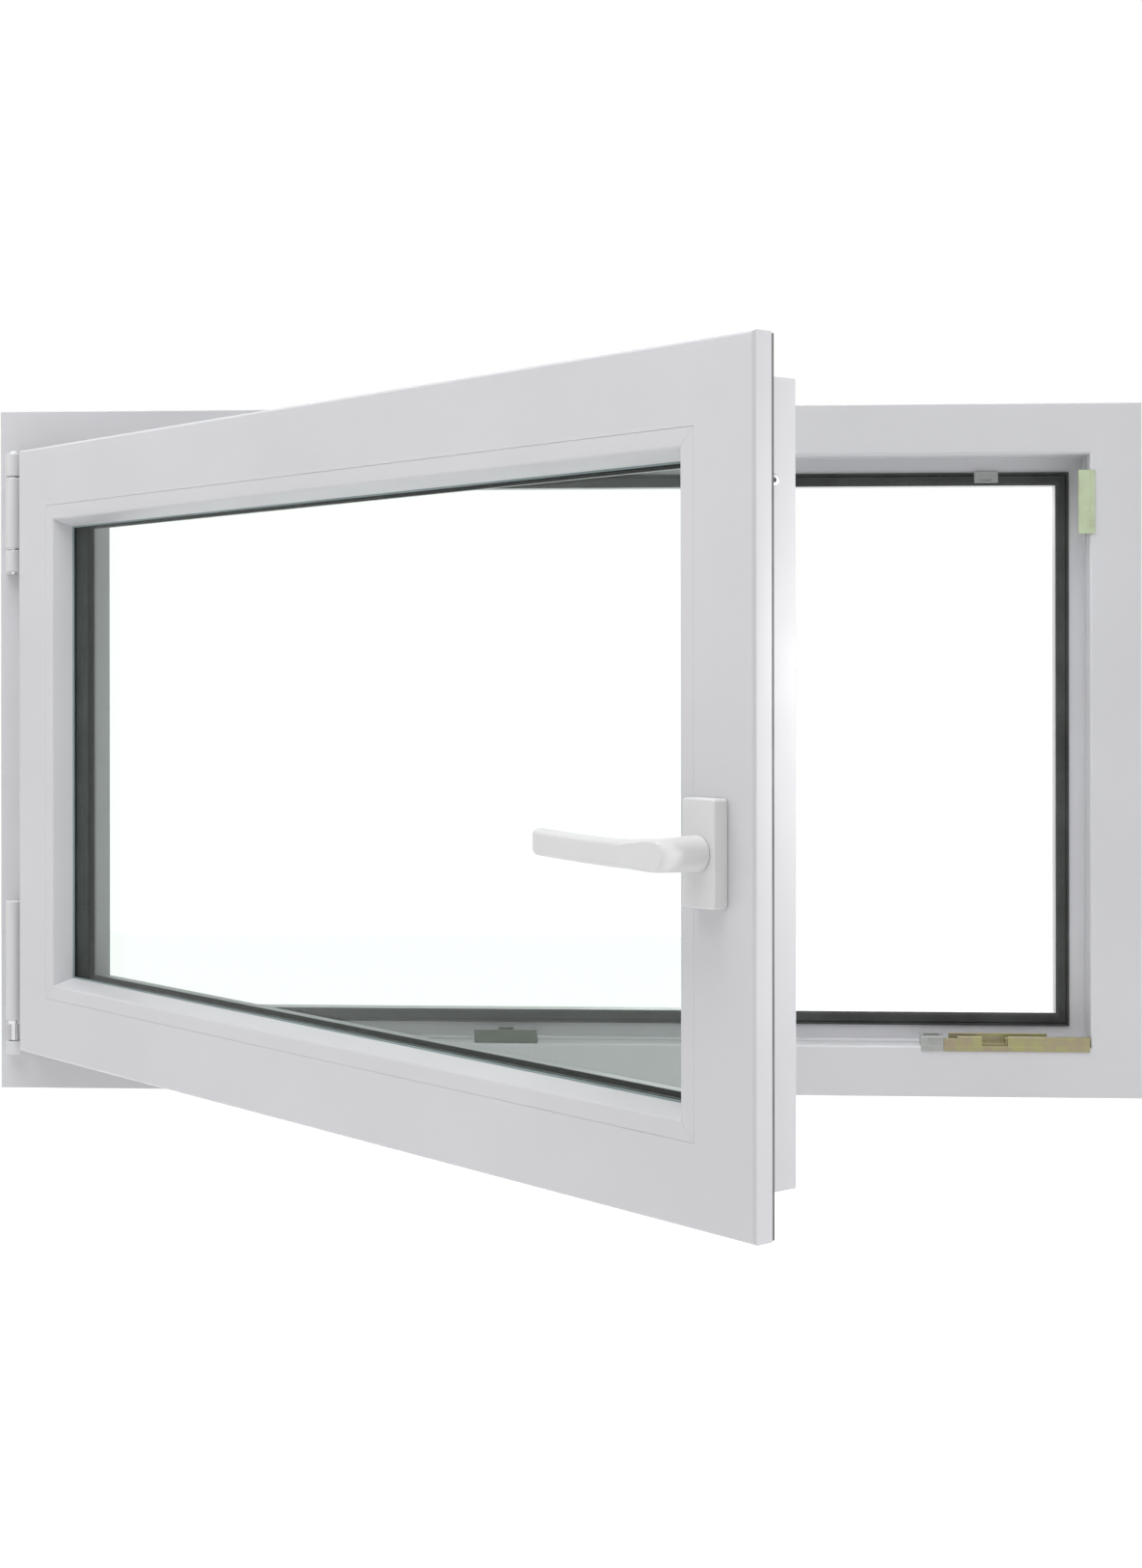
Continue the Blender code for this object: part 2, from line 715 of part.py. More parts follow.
def build_lower_hinge():
    """The corner hinge: a ball-ended pin in a swivel bush, which the frame's bearing carries."""
    bearing = box("lower_hinge_bearing", (0.006, -0.0033, 0.032), (0.037, -GAP, 0.057), COVER)
    bridge = box(
        "lower_bearing_bridge", (AXIS_X - 0.0074, AXIS_Y, 0.0321), (AXIS_X + 0.0074, -0.0025, 0.0439)
    )
    drum = rod("lower_bearing_drum", AXIS, 0.0074, "Z", (0.032, 0.044))
    socket = rod("lower_bearing_socket", AXIS, 0.0059, "Z", (0.035, 0.0445))
    cut(join(bearing, bridge, drum), socket)
    seat = arc((0.0, TILT_Z), SEAT_RADIUS, -90.0, 0.0, 8)
    rim, foot = TILT_Z + 0.0025, 0.0353
    profile = [*seat, (SEAT_RADIUS, rim), (0.0056, rim), (0.0056, foot), (0.0, foot)]
    turned("corner_swivel_bush", AXIS, profile, ZINC, SASH_TURN)
    shaft = 0.0028
    joint = math.degrees(math.acos(shaft / BALL_RADIUS))
    ball = arc((0.0, TILT_Z), BALL_RADIUS, joint, -90.0, 10)
    turned("corner_hinge_pin", AXIS, [(0.0, 0.104), (shaft, 0.104), *ball], ZINC, SASH_TILT)
    strap = rod(
        "sash_hinge_strap", AXIS, SLEEVE_RADIUS, "Z", LOWER_STRAP_Z, ZINC, SASH_TILT
    )
    low, high = LOWER_STRAP_Z
    root = strap_root("hinge_strap_root", (low, high), SASH_TILT)
    web = box(
        "hinge_strap_web", (AXIS_X, -0.0036, low), (0.0597, -0.0006, high), parent=SASH_TILT
    )
    leg = box("hinge_strap_leg", (0.0572, -0.0036, low), (0.0597, 0.018, high), parent=SASH_TILT)
    bore = rod("hinge_strap_bore", AXIS, 0.0031, "Z", (low - 0.002, 0.1043), parent=SASH_TILT)
    cut(join(strap, root, web, leg), bore)
    hinge_cover("hinge_strap_cover", (0.062, 0.167), 0.1653, SASH_TILT)


def strap_root(name, span, parent):
    """The bend that takes a hinge strap from its sleeve back to the plane behind the lip."""
    low = (AXIS_X - 0.0015, AXIS_Y, span[0] + 0.0001)
    high = (AXIS_X + 0.0025, -0.0007, span[1] - 0.0001)
    return box(name, low, high, parent=parent)


def hinge_cover(name, span, hollow_top, parent):
    """A half-round plastic cover over a hinge sleeve, open towards the frame."""
    cover = rod(name, AXIS, COVER_RADIUS, "Z", span, COVER, parent)
    hollow = rod(f"{name}_hollow", AXIS, 0.0061, "Z", (span[0] - 0.002, hollow_top), parent=parent)
    back = box(
        f"{name}_back",
        (AXIS_X - 0.012, AXIS_Y + 0.0038, span[0] - 0.002),
        (AXIS_X + 0.012, AXIS_Y + 0.012, span[1] + 0.002),
        parent=parent,
    )
    return cut(cover, hollow, back)


PIN_RADIUS = 0.0025
KNUCKLE_LOW_Z = (0.457, 0.476)
KNUCKLE_HIGH_Z = (0.541, 0.561)
STAY_SLEEVE_Z = (0.477, 0.540)
ARM_Z = (0.5435, 0.5465)
STUD_X = 0.226
STUD_Y = 0.010


def build_upper_hinge():
    """The stay bearing: two knuckles on the frame, and a pin that the stay arm turns on."""
    bearing = box("upper_hinge_bearing", (0.006, -0.0033, 0.455), (0.0135, -GAP, 0.562), COVER)
    for name, span in (("low_knuckle", KNUCKLE_LOW_Z), ("high_knuckle", KNUCKLE_HIGH_Z)):
        bridge = box(f"{name}_bridge", (0.0075, AXIS_Y, span[0]), (AXIS_X, -0.0025, span[1]))
        drum = rod(f"{name}_drum", AXIS, 0.0074, "Z", span)
        join(bearing, bridge, drum)
    bore = rod("upper_bearing_bore", AXIS, PIN_RADIUS + GAP, "Z", (0.450, 0.565))
    cut(bearing, bore)
    pin_profile = [
        (0.0, 0.5635),
        (0.0038, 0.5635),
        (0.0038, KNUCKLE_HIGH_Z[1] + GAP),
        (PIN_RADIUS, KNUCKLE_HIGH_Z[1] + GAP),
        (PIN_RADIUS, 0.4555),
        (0.0, 0.4555),
    ]
    turned("upper_hinge_pin", AXIS, pin_profile, ZINC, WINDOW)
    low, high = STAY_SLEEVE_Z
    inner = PIN_RADIUS + GAP
    bush_profile = [(inner, low), (inner, high), (0.0040, high), (0.0040, low), (inner, low)]
    turned("stay_bush", AXIS, bush_profile, GREY_PLASTIC, SASH_TURN)
    build_stay_arm(low, high)
    hinge_cover("stay_cover", (0.4778, 0.5395), 0.545, STAY_SWING)


def build_stay_arm(low, high):
    """Sleeve, strap through the gap behind the lip, and the flat arm with its sliding stud."""
    arm = rod("stay_arm", AXIS, SLEEVE_RADIUS, "Z", (low, high), ZINC, STAY_SWING)
    strap = [
        (AXIS_X, STAY_STRAP_Z[0]),
        (0.050, STAY_STRAP_Z[0]),
        (0.050, STAY_STRAP_Z[1]),
        (0.031, STAY_STRAP_Z[1]),
        (0.031, 0.5392),
        (AXIS_X, 0.5392),
    ]
    web = plate("stay_strap", "XZ", [strap], (-0.0036, -0.0006), parent=STAY_SWING)
    root = strap_root("stay_strap_root", (STAY_STRAP_Z[0], 0.5392), STAY_SWING)
    flat = rounded(
        [
            (0.0446, -0.0036, 0.0),
            (0.0540, -0.0036, 0.0),
            (0.0600, 0.0040, 0.004),
            (STUD_X + 0.006, 0.0040, 0.0059),
            (STUD_X + 0.006, 0.0160, 0.0059),
            (0.0560, 0.0160, 0.004),
            (0.0446, 0.0060, 0.0),
        ]
    )
    blade = plate("stay_blade", "XY", [flat], ARM_Z, parent=STAY_SWING)
    stud = rod(
        "stay_stud", (STUD_X, STUD_Y, 0.0), 0.0034, "Z", (0.5399, 0.5450), parent=STAY_SWING
    )
    bore = rod("stay_sleeve_bore", AXIS, 0.0043, "Z", (low - 0.003, high + 0.003), parent=STAY_SWING)
    cut(join(arm, root, web, blade, stud), bore)


# ---------------------------------------------------------------- fittings in the sash groove

LOCK_EDGE = SASH_X[1]
CAM_RADIUS = 0.0040
CAM_NECK = 0.0030
SLOT_WIDTH = 0.0072
LOCK_CAM_Z = 0.478
HEAD_CAM_X = 0.583
SILL_CAM_X = 0.416
TILT_CAM_X = 0.874
CORNER_LEG_TOP = 0.420
CORNER_LEG_BOTTOM = 0.178
FACE_Y = (GROOVE_Y - FACEPLATE_WIDTH / 2, GROOVE_Y + FACEPLATE_WIDTH / 2)
SLOT_Y = (GROOVE_Y - SLOT_WIDTH / 2, GROOVE_Y + SLOT_WIDTH / 2)
ROD_Y = (GROOVE_Y - ROD_WIDTH / 2, GROOVE_Y + ROD_WIDTH / 2)


def strip_corners(side, along, insets, y_range):
    """Corners of a flat strip that lies in the groove along one side of the sash."""
    if side == "lock":
        low = (LOCK_EDGE - insets[1], y_range[0], along[0])
        high = (LOCK_EDGE - insets[0], y_range[1], along[1])
    elif side == "top":
        low = (along[0], y_range[0], SASH_Z[1] - insets[1])
        high = (along[1], y_range[1], SASH_Z[1] - insets[0])
    else:
        low = (along[0], y_range[0], SASH_Z[0] + insets[0])
        high = (along[1], y_range[1], SASH_Z[0] + insets[1])
    return low, high


def strip(name, side, along, insets=(FACEPLATE_TOP, FACEPLATE_LOW), y_range=FACE_Y, material=None):
    return box(name, *strip_corners(side, along, insets, y_range), material, SASH_TILT)


def slot(name, side, centre, reach):
    """A slot through a faceplate, long enough for a cam's travel each way."""
    span = (centre - reach, centre + reach)
    return strip(name, side, span, (FACEPLATE_TOP - 0.002, FACEPLATE_LOW + 0.002), SLOT_Y)


CAM_REACH = ROD_STROKE + CAM_NECK + 0.001


def build_faceplates():
    top = strip("corner_drive_top", "top", (0.545, LOCK_EDGE - FACEPLATE_TOP), material=ZINC)
    leg = strip("corner_top_leg", "lock", (CORNER_LEG_TOP, SASH_Z[1] - FACEPLATE_TOP))
    join(top, leg)
    cut(top, slot("head_cam_slot", "top", HEAD_CAM_X, CAM_REACH))
    cut(top, slot("lock_cam_slot", "lock", LOCK_CAM_Z, CAM_REACH))
    low = strip("corner_drive_bottom", "bottom", (0.380, LOCK_EDGE - FACEPLATE_TOP), material=ZINC)
    leg = strip("corner_bottom_leg", "lock", (SASH_Z[0] + FACEPLATE_TOP, CORNER_LEG_BOTTOM))
    join(low, leg)
    cut(low, slot("sill_cam_slot", "bottom", SILL_CAM_X, CAM_REACH))
    cut(low, slot("tilt_cam_slot", "bottom", TILT_CAM_X, CAM_REACH))
    strip("lock_faceplate", "lock", (CORNER_LEG_BOTTOM + GAP, CORNER_LEG_TOP - GAP), material=ZINC)
    guide = strip("stay_guide", "top", (0.064, 0.545 - GAP), material=ZINC)
    track = box(
        "stay_guide_track",
        (STUD_X - 0.016, STUD_Y - 0.0054, 0.535),
        (STUD_X + 0.006, STUD_Y + 0.0054, 0.545),
        parent=SASH_TILT,
    )
    cut(guide, track)


def build_cam(name, side, place):
    """A cam: a neck through the faceplate's slot and a wider head beyond it."""
    axis = "X" if side == "lock" else "Z"
    if side == "lock":
        centre = (0.0, GROOVE_Y, place)
    else:
        centre = (place, GROOVE_Y, 0.0)

    def reach(start, end):
        if side == "lock":
            return LOCK_EDGE - start, LOCK_EDGE - end
        if side == "top":
            return SASH_Z[1] - start, SASH_Z[1] - end
        return SASH_Z[0] + end, SASH_Z[0] + start

    neck = rod(
        f"{name}_neck", centre, CAM_NECK, axis, reach(0.0245, 0.0150), parent=SASH_TILT, sides=20
    )
    head = rod(
        f"{name}_head", centre, CAM_RADIUS, axis, reach(0.0200, CAM_TIP_P), parent=SASH_TILT, sides=20
    )
    return neck, head


def build_drive_rods():
    lock = build_lock_rod()
    join(lock, *build_cam("lock_cam", "lock", LOCK_CAM_Z))
    top = strip("drive_rod_top", "top", (0.574, 0.885), ROD_P, ROD_Y, ZINC)
    join(top, *build_cam("head_cam", "top", HEAD_CAM_X))
    low = strip("drive_rod_bottom", "bottom", (0.407, 0.884), ROD_P, ROD_Y, ZINC)
    join(low, *build_cam("sill_cam", "bottom", SILL_CAM_X))
    join(low, *build_cam("tilt_cam", "bottom", TILT_CAM_X))


def build_lock_rod():
    """A flat rod with a ladder of windows, which the pinion's teeth engage as a rack."""
    pitch = 2 * math.pi * PITCH_RADIUS / PINION_TEETH
    windows = []
    for step in range(-5, 6):
        middle = HANDLE_Z + step * pitch
        windows.append(
            rectangle((GROOVE_Y - 0.0028, GROOVE_Y + 0.0028), (middle - 0.0021, middle + 0.0021))
        )
    outline = rectangle(ROD_Y, (0.092, 0.487))
    ends = (LOCK_EDGE - ROD_P[1], LOCK_EDGE - ROD_P[0])
    return plate("drive_rod_lock", "YZ", [outline, *windows], ends, ZINC, SASH_TILT)


def pinion_outline():
    """Twelve teeth with flat tips; one points at the rod when the handle is level."""
    root, tip = 0.0090, 0.0124
    outline = []
    for tooth in range(PINION_TEETH):
        middle = 2 * math.pi * tooth / PINION_TEETH
        for radius, half in ((root, 0.0016), (tip, 0.0007), (tip, -0.0007), (root, -0.0016)):
            angle = middle - math.asin(half / radius)
            outline.append(
                (HANDLE_X + radius * math.cos(angle), HANDLE_Z + radius * math.sin(angle))
            )
    return outline


def build_gearbox():
    case = box(
        "gearbox_case",
        (GEARBOX_X[0], GEARBOX_Y[0], GEARBOX_Z[0]),
        (GEARBOX_X[1], GEARBOX_Y[1], GEARBOX_Z[1]),
        ZINC,
        SASH_TILT,
    )
    middle = (HANDLE_X, 0.0, HANDLE_Z)
    cavity = rod("gearbox_cavity", middle, 0.0129, "Y", (0.0042, 0.0138), parent=SASH_TILT)
    passage = rod("gearbox_passage", middle, 0.0062, "Y", (0.0, 0.018), parent=SASH_TILT)
    cut(case, cavity, passage)
    for name, rise in (("gearbox_upper_hole", 0.5), ("gearbox_lower_hole", -0.5)):
        centre = (HANDLE_X, 0.0, HANDLE_Z + rise * SCREW_PITCH)
        cut(case, rod(name, centre, 0.0026, "Y", (0.0, 0.012), parent=SASH_TILT, sides=20))
    socket = rectangle(
        (HANDLE_X - 0.0038, HANDLE_X + 0.0038), (HANDLE_Z - 0.0038, HANDLE_Z + 0.0038)
    )
    plate(
        "gearbox_pinion", "XZ", [pinion_outline(), socket], (0.0066, 0.0114), ZINC, PINION_TURN
    )


# ---------------------------------------------------------------- handle

ROSETTE_FRONT = SASH_FACE_Y - 0.011
ROSETTE_BACK = SASH_FACE_Y - GAP
ROSETTE_SIZE = (0.0275, 0.0640)
NECK_RADIUS = 0.0106
ELBOW_Y = SASH_FACE_Y - 0.0412
GRIP_Y = (SASH_FACE_Y - 0.0512, SASH_FACE_Y - 0.0392)
GRIP_TOP = ((0.000, 0.0087), (0.030, 0.0085), (0.060, 0.0091), (0.085, 0.0102), (0.105, 0.0114))
GRIP_FOOT = ((0.105, -0.0049), (0.085, -0.0060), (0.060, -0.0071), (0.030, -0.0082), (0.000, -0.0087))


def centred_box(name, size, y_range, material=None, parent=SASH_TILT):
    """A box about the spindle, size (width, height)."""
    return box(
        name,
        (HANDLE_X - size[0] / 2, y_range[0], HANDLE_Z - size[1] / 2),
        (HANDLE_X + size[0] / 2, y_range[1], HANDLE_Z + size[1] / 2),
        material,
        parent,
    )


def build_rosette():
    """A fixed base held by two screws, and the cover that snaps over it."""
    middle = (HANDLE_X, 0.0, HANDLE_Z)
    cover = centred_box("rosette_cover", ROSETTE_SIZE, (ROSETTE_FRONT, ROSETTE_BACK), HANDLE)
    bevel(cover, 0.0025, 3)
    inside = (ROSETTE_SIZE[0] - 0.0036, ROSETTE_SIZE[1] - 0.0036)
    hollow = centred_box("rosette_hollow", inside, (ROSETTE_FRONT + 0.0025, SASH_FACE_Y + 0.002))
    hole = rod("rosette_hole", middle, 0.0062, "Y", (ROSETTE_FRONT - 0.002, -0.015), parent=SASH_TILT)
    cut(cover, hollow, hole)
    base_size = (inside[0] - 2 * GAP, inside[1] - 2 * GAP)
    base_front = ROSETTE_FRONT + 0.0025 + GAP
    base = centred_box("rosette_base", base_size, (base_front, ROSETTE_BACK), GREY_PLASTIC)
    passage = rod("rosette_passage", middle, 0.0062, "Y", (-0.030, -0.015), parent=SASH_TILT)
    cut(base, passage)
    for name, rise in (("handle_screw_upper", 0.5), ("handle_screw_lower", -0.5)):
        centre = (HANDLE_X, 0.0, HANDLE_Z + rise * SCREW_PITCH)
        hole = rod(f"{name}_hole", centre, 0.0026, "Y", (-0.030, -0.015), parent=SASH_TILT, sides=20)
        sink = rod(f"{name}_sink", centre, 0.0046, "Y", (-0.030, -0.0240), parent=SASH_TILT, sides=24)
        cut(base, hole, sink)
        screw = rod(name, centre, 0.0043, "Y", (-0.0268, -0.0243), ZINC, SASH_TILT, sides=24)
        shank = rod(f"{name}_shank", centre, 0.0023, "Y", (-0.0250, 0.0095), parent=SASH_TILT, sides=16)
        cross = box(
            f"{name}_recess",
            (centre[0] - 0.0022, -0.0278, centre[2] - 0.0005),
            (centre[0] + 0.0022, -0.0257, centre[2] + 0.0005),
            parent=SASH_TILT,
        )
        cut(join(screw, shank), cross)


def build_lever():
    """Grip, round neck and the square spindle pressed into it, level as in the turn position."""
    middle = (HANDLE_X, 0.0, HANDLE_Z)
    outline = [(HANDLE_X - reach, HANDLE_Z + rise) for reach, rise in (*GRIP_TOP, *GRIP_FOOT)]
    grip = plate("handle_lever", "XZ", [outline], GRIP_Y, HANDLE, HANDLE_TURN)
    bevel(grip, 0.0035, 3)
    neck_reach = (ELBOW_Y, ROSETTE_FRONT - GAP)
    neck = rod("lever_neck", middle, NECK_RADIUS, "Y", neck_reach, parent=HANDLE_TURN)
    elbow = ball("lever_elbow", (HANDLE_X, ELBOW_Y, HANDLE_Z), NECK_RADIUS + 0.0001, HANDLE_TURN)
    collar = rod("lever_collar", middle, 0.0057, "Y", (-0.034, -0.0225), parent=HANDLE_TURN)
    half = 0.0035
    spindle = box(
        "lever_spindle",
        (HANDLE_X - half, -0.040, HANDLE_Z - half),
        (HANDLE_X + half, 0.0125, HANDLE_Z + half),
        parent=HANDLE_TURN,
    )
    join(grip, neck, elbow, collar, spindle)


build_frame()
build_frame_gasket()
build_drain_caps()
build_keepers()
build_sash()
build_sash_gaskets()
build_beads()
build_glazing()
build_lower_hinge()
build_upper_hinge()
build_faceplates()
build_drive_rods()
build_gearbox()
build_rosette()
build_lever()
bpy.context.view_layer.update()
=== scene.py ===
# %% [markdown]
# # A tilt-and-turn casement window
#
# This lesson dresses a white uPVC window: an outer frame, a double-glazed sash that stands open
# into the room, a lever handle, hinges, keepers and the locking gear in the sash's edge. The
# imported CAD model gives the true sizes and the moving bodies. We keep those and build finer
# surfaces around them, piece by piece.

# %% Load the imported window
import json
import math

import bmesh
import bpy
from mathutils import Matrix, Vector


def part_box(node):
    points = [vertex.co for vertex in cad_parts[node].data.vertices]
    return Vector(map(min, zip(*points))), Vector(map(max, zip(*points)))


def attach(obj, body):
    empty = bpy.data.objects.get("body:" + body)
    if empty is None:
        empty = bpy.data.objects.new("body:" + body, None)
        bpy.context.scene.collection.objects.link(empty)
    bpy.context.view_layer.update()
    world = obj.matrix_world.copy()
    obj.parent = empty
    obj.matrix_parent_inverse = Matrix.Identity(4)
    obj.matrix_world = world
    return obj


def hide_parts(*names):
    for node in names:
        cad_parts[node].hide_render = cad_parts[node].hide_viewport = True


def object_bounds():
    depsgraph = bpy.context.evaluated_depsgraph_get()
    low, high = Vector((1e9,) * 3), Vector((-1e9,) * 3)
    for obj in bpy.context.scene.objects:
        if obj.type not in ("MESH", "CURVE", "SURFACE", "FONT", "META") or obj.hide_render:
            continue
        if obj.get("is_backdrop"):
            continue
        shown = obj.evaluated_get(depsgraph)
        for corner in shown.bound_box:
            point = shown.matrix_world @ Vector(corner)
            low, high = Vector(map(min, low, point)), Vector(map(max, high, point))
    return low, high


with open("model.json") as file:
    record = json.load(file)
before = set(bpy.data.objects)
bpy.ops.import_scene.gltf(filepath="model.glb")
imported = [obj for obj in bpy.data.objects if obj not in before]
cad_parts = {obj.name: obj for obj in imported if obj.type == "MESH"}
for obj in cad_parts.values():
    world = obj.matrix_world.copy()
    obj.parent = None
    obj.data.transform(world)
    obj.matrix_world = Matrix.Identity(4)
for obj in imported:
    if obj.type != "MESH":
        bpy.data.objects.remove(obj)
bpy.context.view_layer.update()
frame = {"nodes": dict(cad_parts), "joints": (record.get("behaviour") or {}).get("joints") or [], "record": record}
record = frame["record"]
BODY_OF = {node: body for body, nodes in record["behaviour"]["bodies"].items() for node in nodes}

# %% [markdown]
# ## The sash, shut and open
#
# It is far easier to model the sash shut, square to the frame, and then swing the finished mesh
# open about the hinge. The record holds the hinge point and the direction that the sash's lower
# edge points in, and those two give the swing.

# %% Find the swing
JOINT = {joint["name"]: joint for joint in frame["joints"]}
HINGE_POINT = Vector(JOINT["sash_turn"]["pos_m"])
OPEN_DIRECTION = Vector(JOINT["sash_tilt"]["axis"])
OPEN_ANGLE = math.atan2(-OPEN_DIRECTION.y, OPEN_DIRECTION.x)
TO_HINGE = Matrix.Translation(HINGE_POINT)
SWING = TO_HINGE @ Matrix.Rotation(-OPEN_ANGLE, 4, "Z") @ TO_HINGE.inverted()
print("sash stands open by", round(math.degrees(OPEN_ANGLE), 1), "degrees")

# %% [markdown]
# ## Measure the CAD
#
# Every piece is built inside the box of the CAD node that it stands for. The frame's nodes are
# measured as they are, and the sash's after they are swung shut.

# %% Boxes of nodes
def shut_box(*nodes):
    """Lowest and highest corner of some sash nodes, as they lie when the sash is shut."""
    shut = SWING.inverted()
    places = [shut @ v.co for node in nodes for v in frame["nodes"][node].data.vertices]
    low, high = ([pick(p[i] for p in places) for i in range(3)] for pick in (min, max))
    return Vector(low), Vector(high)


def whole_box(*nodes):
    """Lowest and highest corner of some nodes of the outer frame."""
    boxes = [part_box(node) for node in nodes]
    low = Vector(min(b[0][i] for b in boxes) for i in range(3))
    high = Vector(max(b[1][i] for b in boxes) for i in range(3))
    return low, high


FRAME_NODES = {
    "bottom": "frame_sill",
    "top": "frame_head",
    "hinge": "frame_jamb_hinge",
    "lock": "frame_jamb_lock",
}
SASH_NODES = {
    "bottom": "sash_rail_bottom",
    "top": "sash_rail_top",
    "hinge": "sash_stile_hinge",
    "lock": "sash_stile_lock",
}
FRAME_BOX = whole_box(*FRAME_NODES.values())
SASH_BOX = shut_box(*SASH_NODES.values())
print("frame:", [round(c, 3) for c in FRAME_BOX[1] - FRAME_BOX[0]])
print("sash:", [round(c, 3) for c in SASH_BOX[1] - SASH_BOX[0]])

# %% [markdown]
# ## Materials
#
# Every finish is built from a few procedural steps on a Principled shader. The first step is a
# noise pattern read in Object coordinates. A Mapping node of the Texture type stretches it along
# a piece and turns it with the open sash, so that streaks run the way the plastic was extruded
# or the steel was rolled.

# %% New material and its pattern
TEXTURE_TURN = {False: (0.0, 0.0, 0.0), True: (0.0, 0.0, -OPEN_ANGLE)}


def new_material(name, colour, roughness, **sockets):
    """A material whose uniform values are set on the shader itself."""
    made = bpy.data.materials.new(name)
    made.use_nodes = True
    shader = made.node_tree.nodes["Principled BSDF"]
    shader.inputs["Base Color"].default_value = (*colour, 1.0)
    shader.inputs["Roughness"].default_value = roughness
    for socket, value in sockets.items():
        shader.inputs[socket.replace("_", " ")].default_value = value
    return made


def pattern(material, size, turned, detail=3.0, kind="ShaderNodeTexNoise"):
    """Noise whose blobs have this size in metres, one for all ways or three for X, Y and Z."""
    nodes, links = material.node_tree.nodes, material.node_tree.links
    place = nodes.new("ShaderNodeTexCoord")
    mapping = nodes.new("ShaderNodeMapping")
    mapping.vector_type = "TEXTURE"
    mapping.inputs["Rotation"].default_value = TEXTURE_TURN[turned]
    mapping.inputs["Scale"].default_value = size if isinstance(size, tuple) else (size,) * 3
    noise = nodes.new(kind)
    noise.inputs["Scale"].default_value = 1.0
    noise.inputs["Detail"].default_value = detail
    links.new(place.outputs["Object"], mapping.inputs["Vector"])
    links.new(mapping.outputs["Vector"], noise.inputs["Vector"])
    return noise.outputs[0]

# %% [markdown]
# ### What a pattern does
#
# The pattern then tints the colour between two close tones, varies the roughness and raises a
# fine bump. Noise stays near the middle of its range, so a Map Range node spreads it first.

# %% Tint, gloss and bump
MIDDLE_REACH = (0.3, 0.7)


def ramp(tree, source, low, high, reach=MIDDLE_REACH):
    """Spread a 0-1 pattern between two values."""
    node = tree.nodes.new("ShaderNodeMapRange")
    node.inputs["From Min"].default_value, node.inputs["From Max"].default_value = reach
    node.inputs["To Min"].default_value, node.inputs["To Max"].default_value = low, high
    tree.links.new(source, node.inputs["Value"])
    return node.outputs["Result"]


def tint(material, source, dark, light, reach=MIDDLE_REACH):
    """Mix the base colour between two tones by a pattern."""
    nodes, links = material.node_tree.nodes, material.node_tree.links
    mix = nodes.new("ShaderNodeMix")
    mix.data_type = "RGBA"
    share, first, second = (mix.inputs[i] for i in (0, 6, 7))
    first.default_value = (*dark, 1.0)
    second.default_value = (*light, 1.0)
    links.new(ramp(material.node_tree, source, 0.0, 1.0, reach), share)
    links.new(mix.outputs[2], nodes["Principled BSDF"].inputs["Base Color"])


def vary_gloss(material, source, low, high, reach=MIDDLE_REACH):
    """Let a pattern move the roughness between two values."""
    tree = material.node_tree
    roughness = tree.nodes["Principled BSDF"].inputs["Roughness"]
    tree.links.new(ramp(tree, source, low, high, reach), roughness)


def emboss(material, source, distance, strength):
    """Raise a bump from a pattern, on top of the bumps that are there already."""
    nodes, links = material.node_tree.nodes, material.node_tree.links
    bump = nodes.new("ShaderNodeBump")
    bump.inputs["Distance"].default_value = distance
    bump.inputs["Strength"].default_value = strength
    before = nodes["Principled BSDF"].inputs["Normal"]
    if before.is_linked:
        links.new(before.links[0].from_socket, bump.inputs["Normal"])
    links.new(source, bump.inputs["Height"])
    links.new(bump.outputs["Normal"], before)

# %% [markdown]
# ### White uPVC
#
# The profiles are extruded, so faint die lines run along them, and the white has a trace of
# lavender. The same recipe is made four times, because the lines run along X or Z and the sash
# is turned.

# %% White uPVC
WHITE = (0.665, 0.665, 0.690)
STREAK = {"X": (0.55, 0.003, 0.003), "Z": (0.003, 0.003, 0.55)}


def white_profile(name, along, turned):
    """Extruded white plastic with die lines along X or Z."""
    made = new_material(name, WHITE, 0.34, Specular_IOR_Level=0.42)
    clouds = pattern(made, 0.16, turned, detail=4.0)
    tint(made, clouds, (0.645, 0.645, 0.668), (0.680, 0.680, 0.706))
    vary_gloss(made, pattern(made, 0.05, turned), 0.29, 0.39)
    emboss(made, pattern(made, STREAK[along], turned, detail=2.0), 0.0003, 0.06)
    emboss(made, pattern(made, 0.0012, turned), 0.0001, 0.05)
    return made


UPVC = {
    (ring, side): white_profile(f"upvc_{ring}_{side}", along, ring == "sash")
    for ring in ("frame", "sash")
    for side, along in (("rails", "X"), ("jambs", "Z"))
}
print("white profiles:", ", ".join(m.name for m in UPVC.values()))

# %% [markdown]
# ### Coated handle and moulded covers
#
# Powder coat has a fine orange-peel skin and a soft shine, and the moulded covers are a little
# duller. Both are a more neutral white than the profiles. The grey mouldings are the same recipe
# in other tones, and the clouded one lets a little light in.

# %% Coats and covers
def coated(name, tones, gloss, skin, turned):
    """A coat or moulding of two close tones, with skin bumps of this size in metres."""
    made = new_material(name, tones[1], sum(gloss) / 2, Specular_IOR_Level=0.5)
    tint(made, pattern(made, 0.03, turned, detail=4.0), *tones, (0.15, 0.85))
    vary_gloss(made, pattern(made, 0.02, turned, detail=1.0), *gloss, (0.1, 0.9))
    emboss(made, pattern(made, skin, turned, detail=1.0), 0.0002, 0.06)
    return made


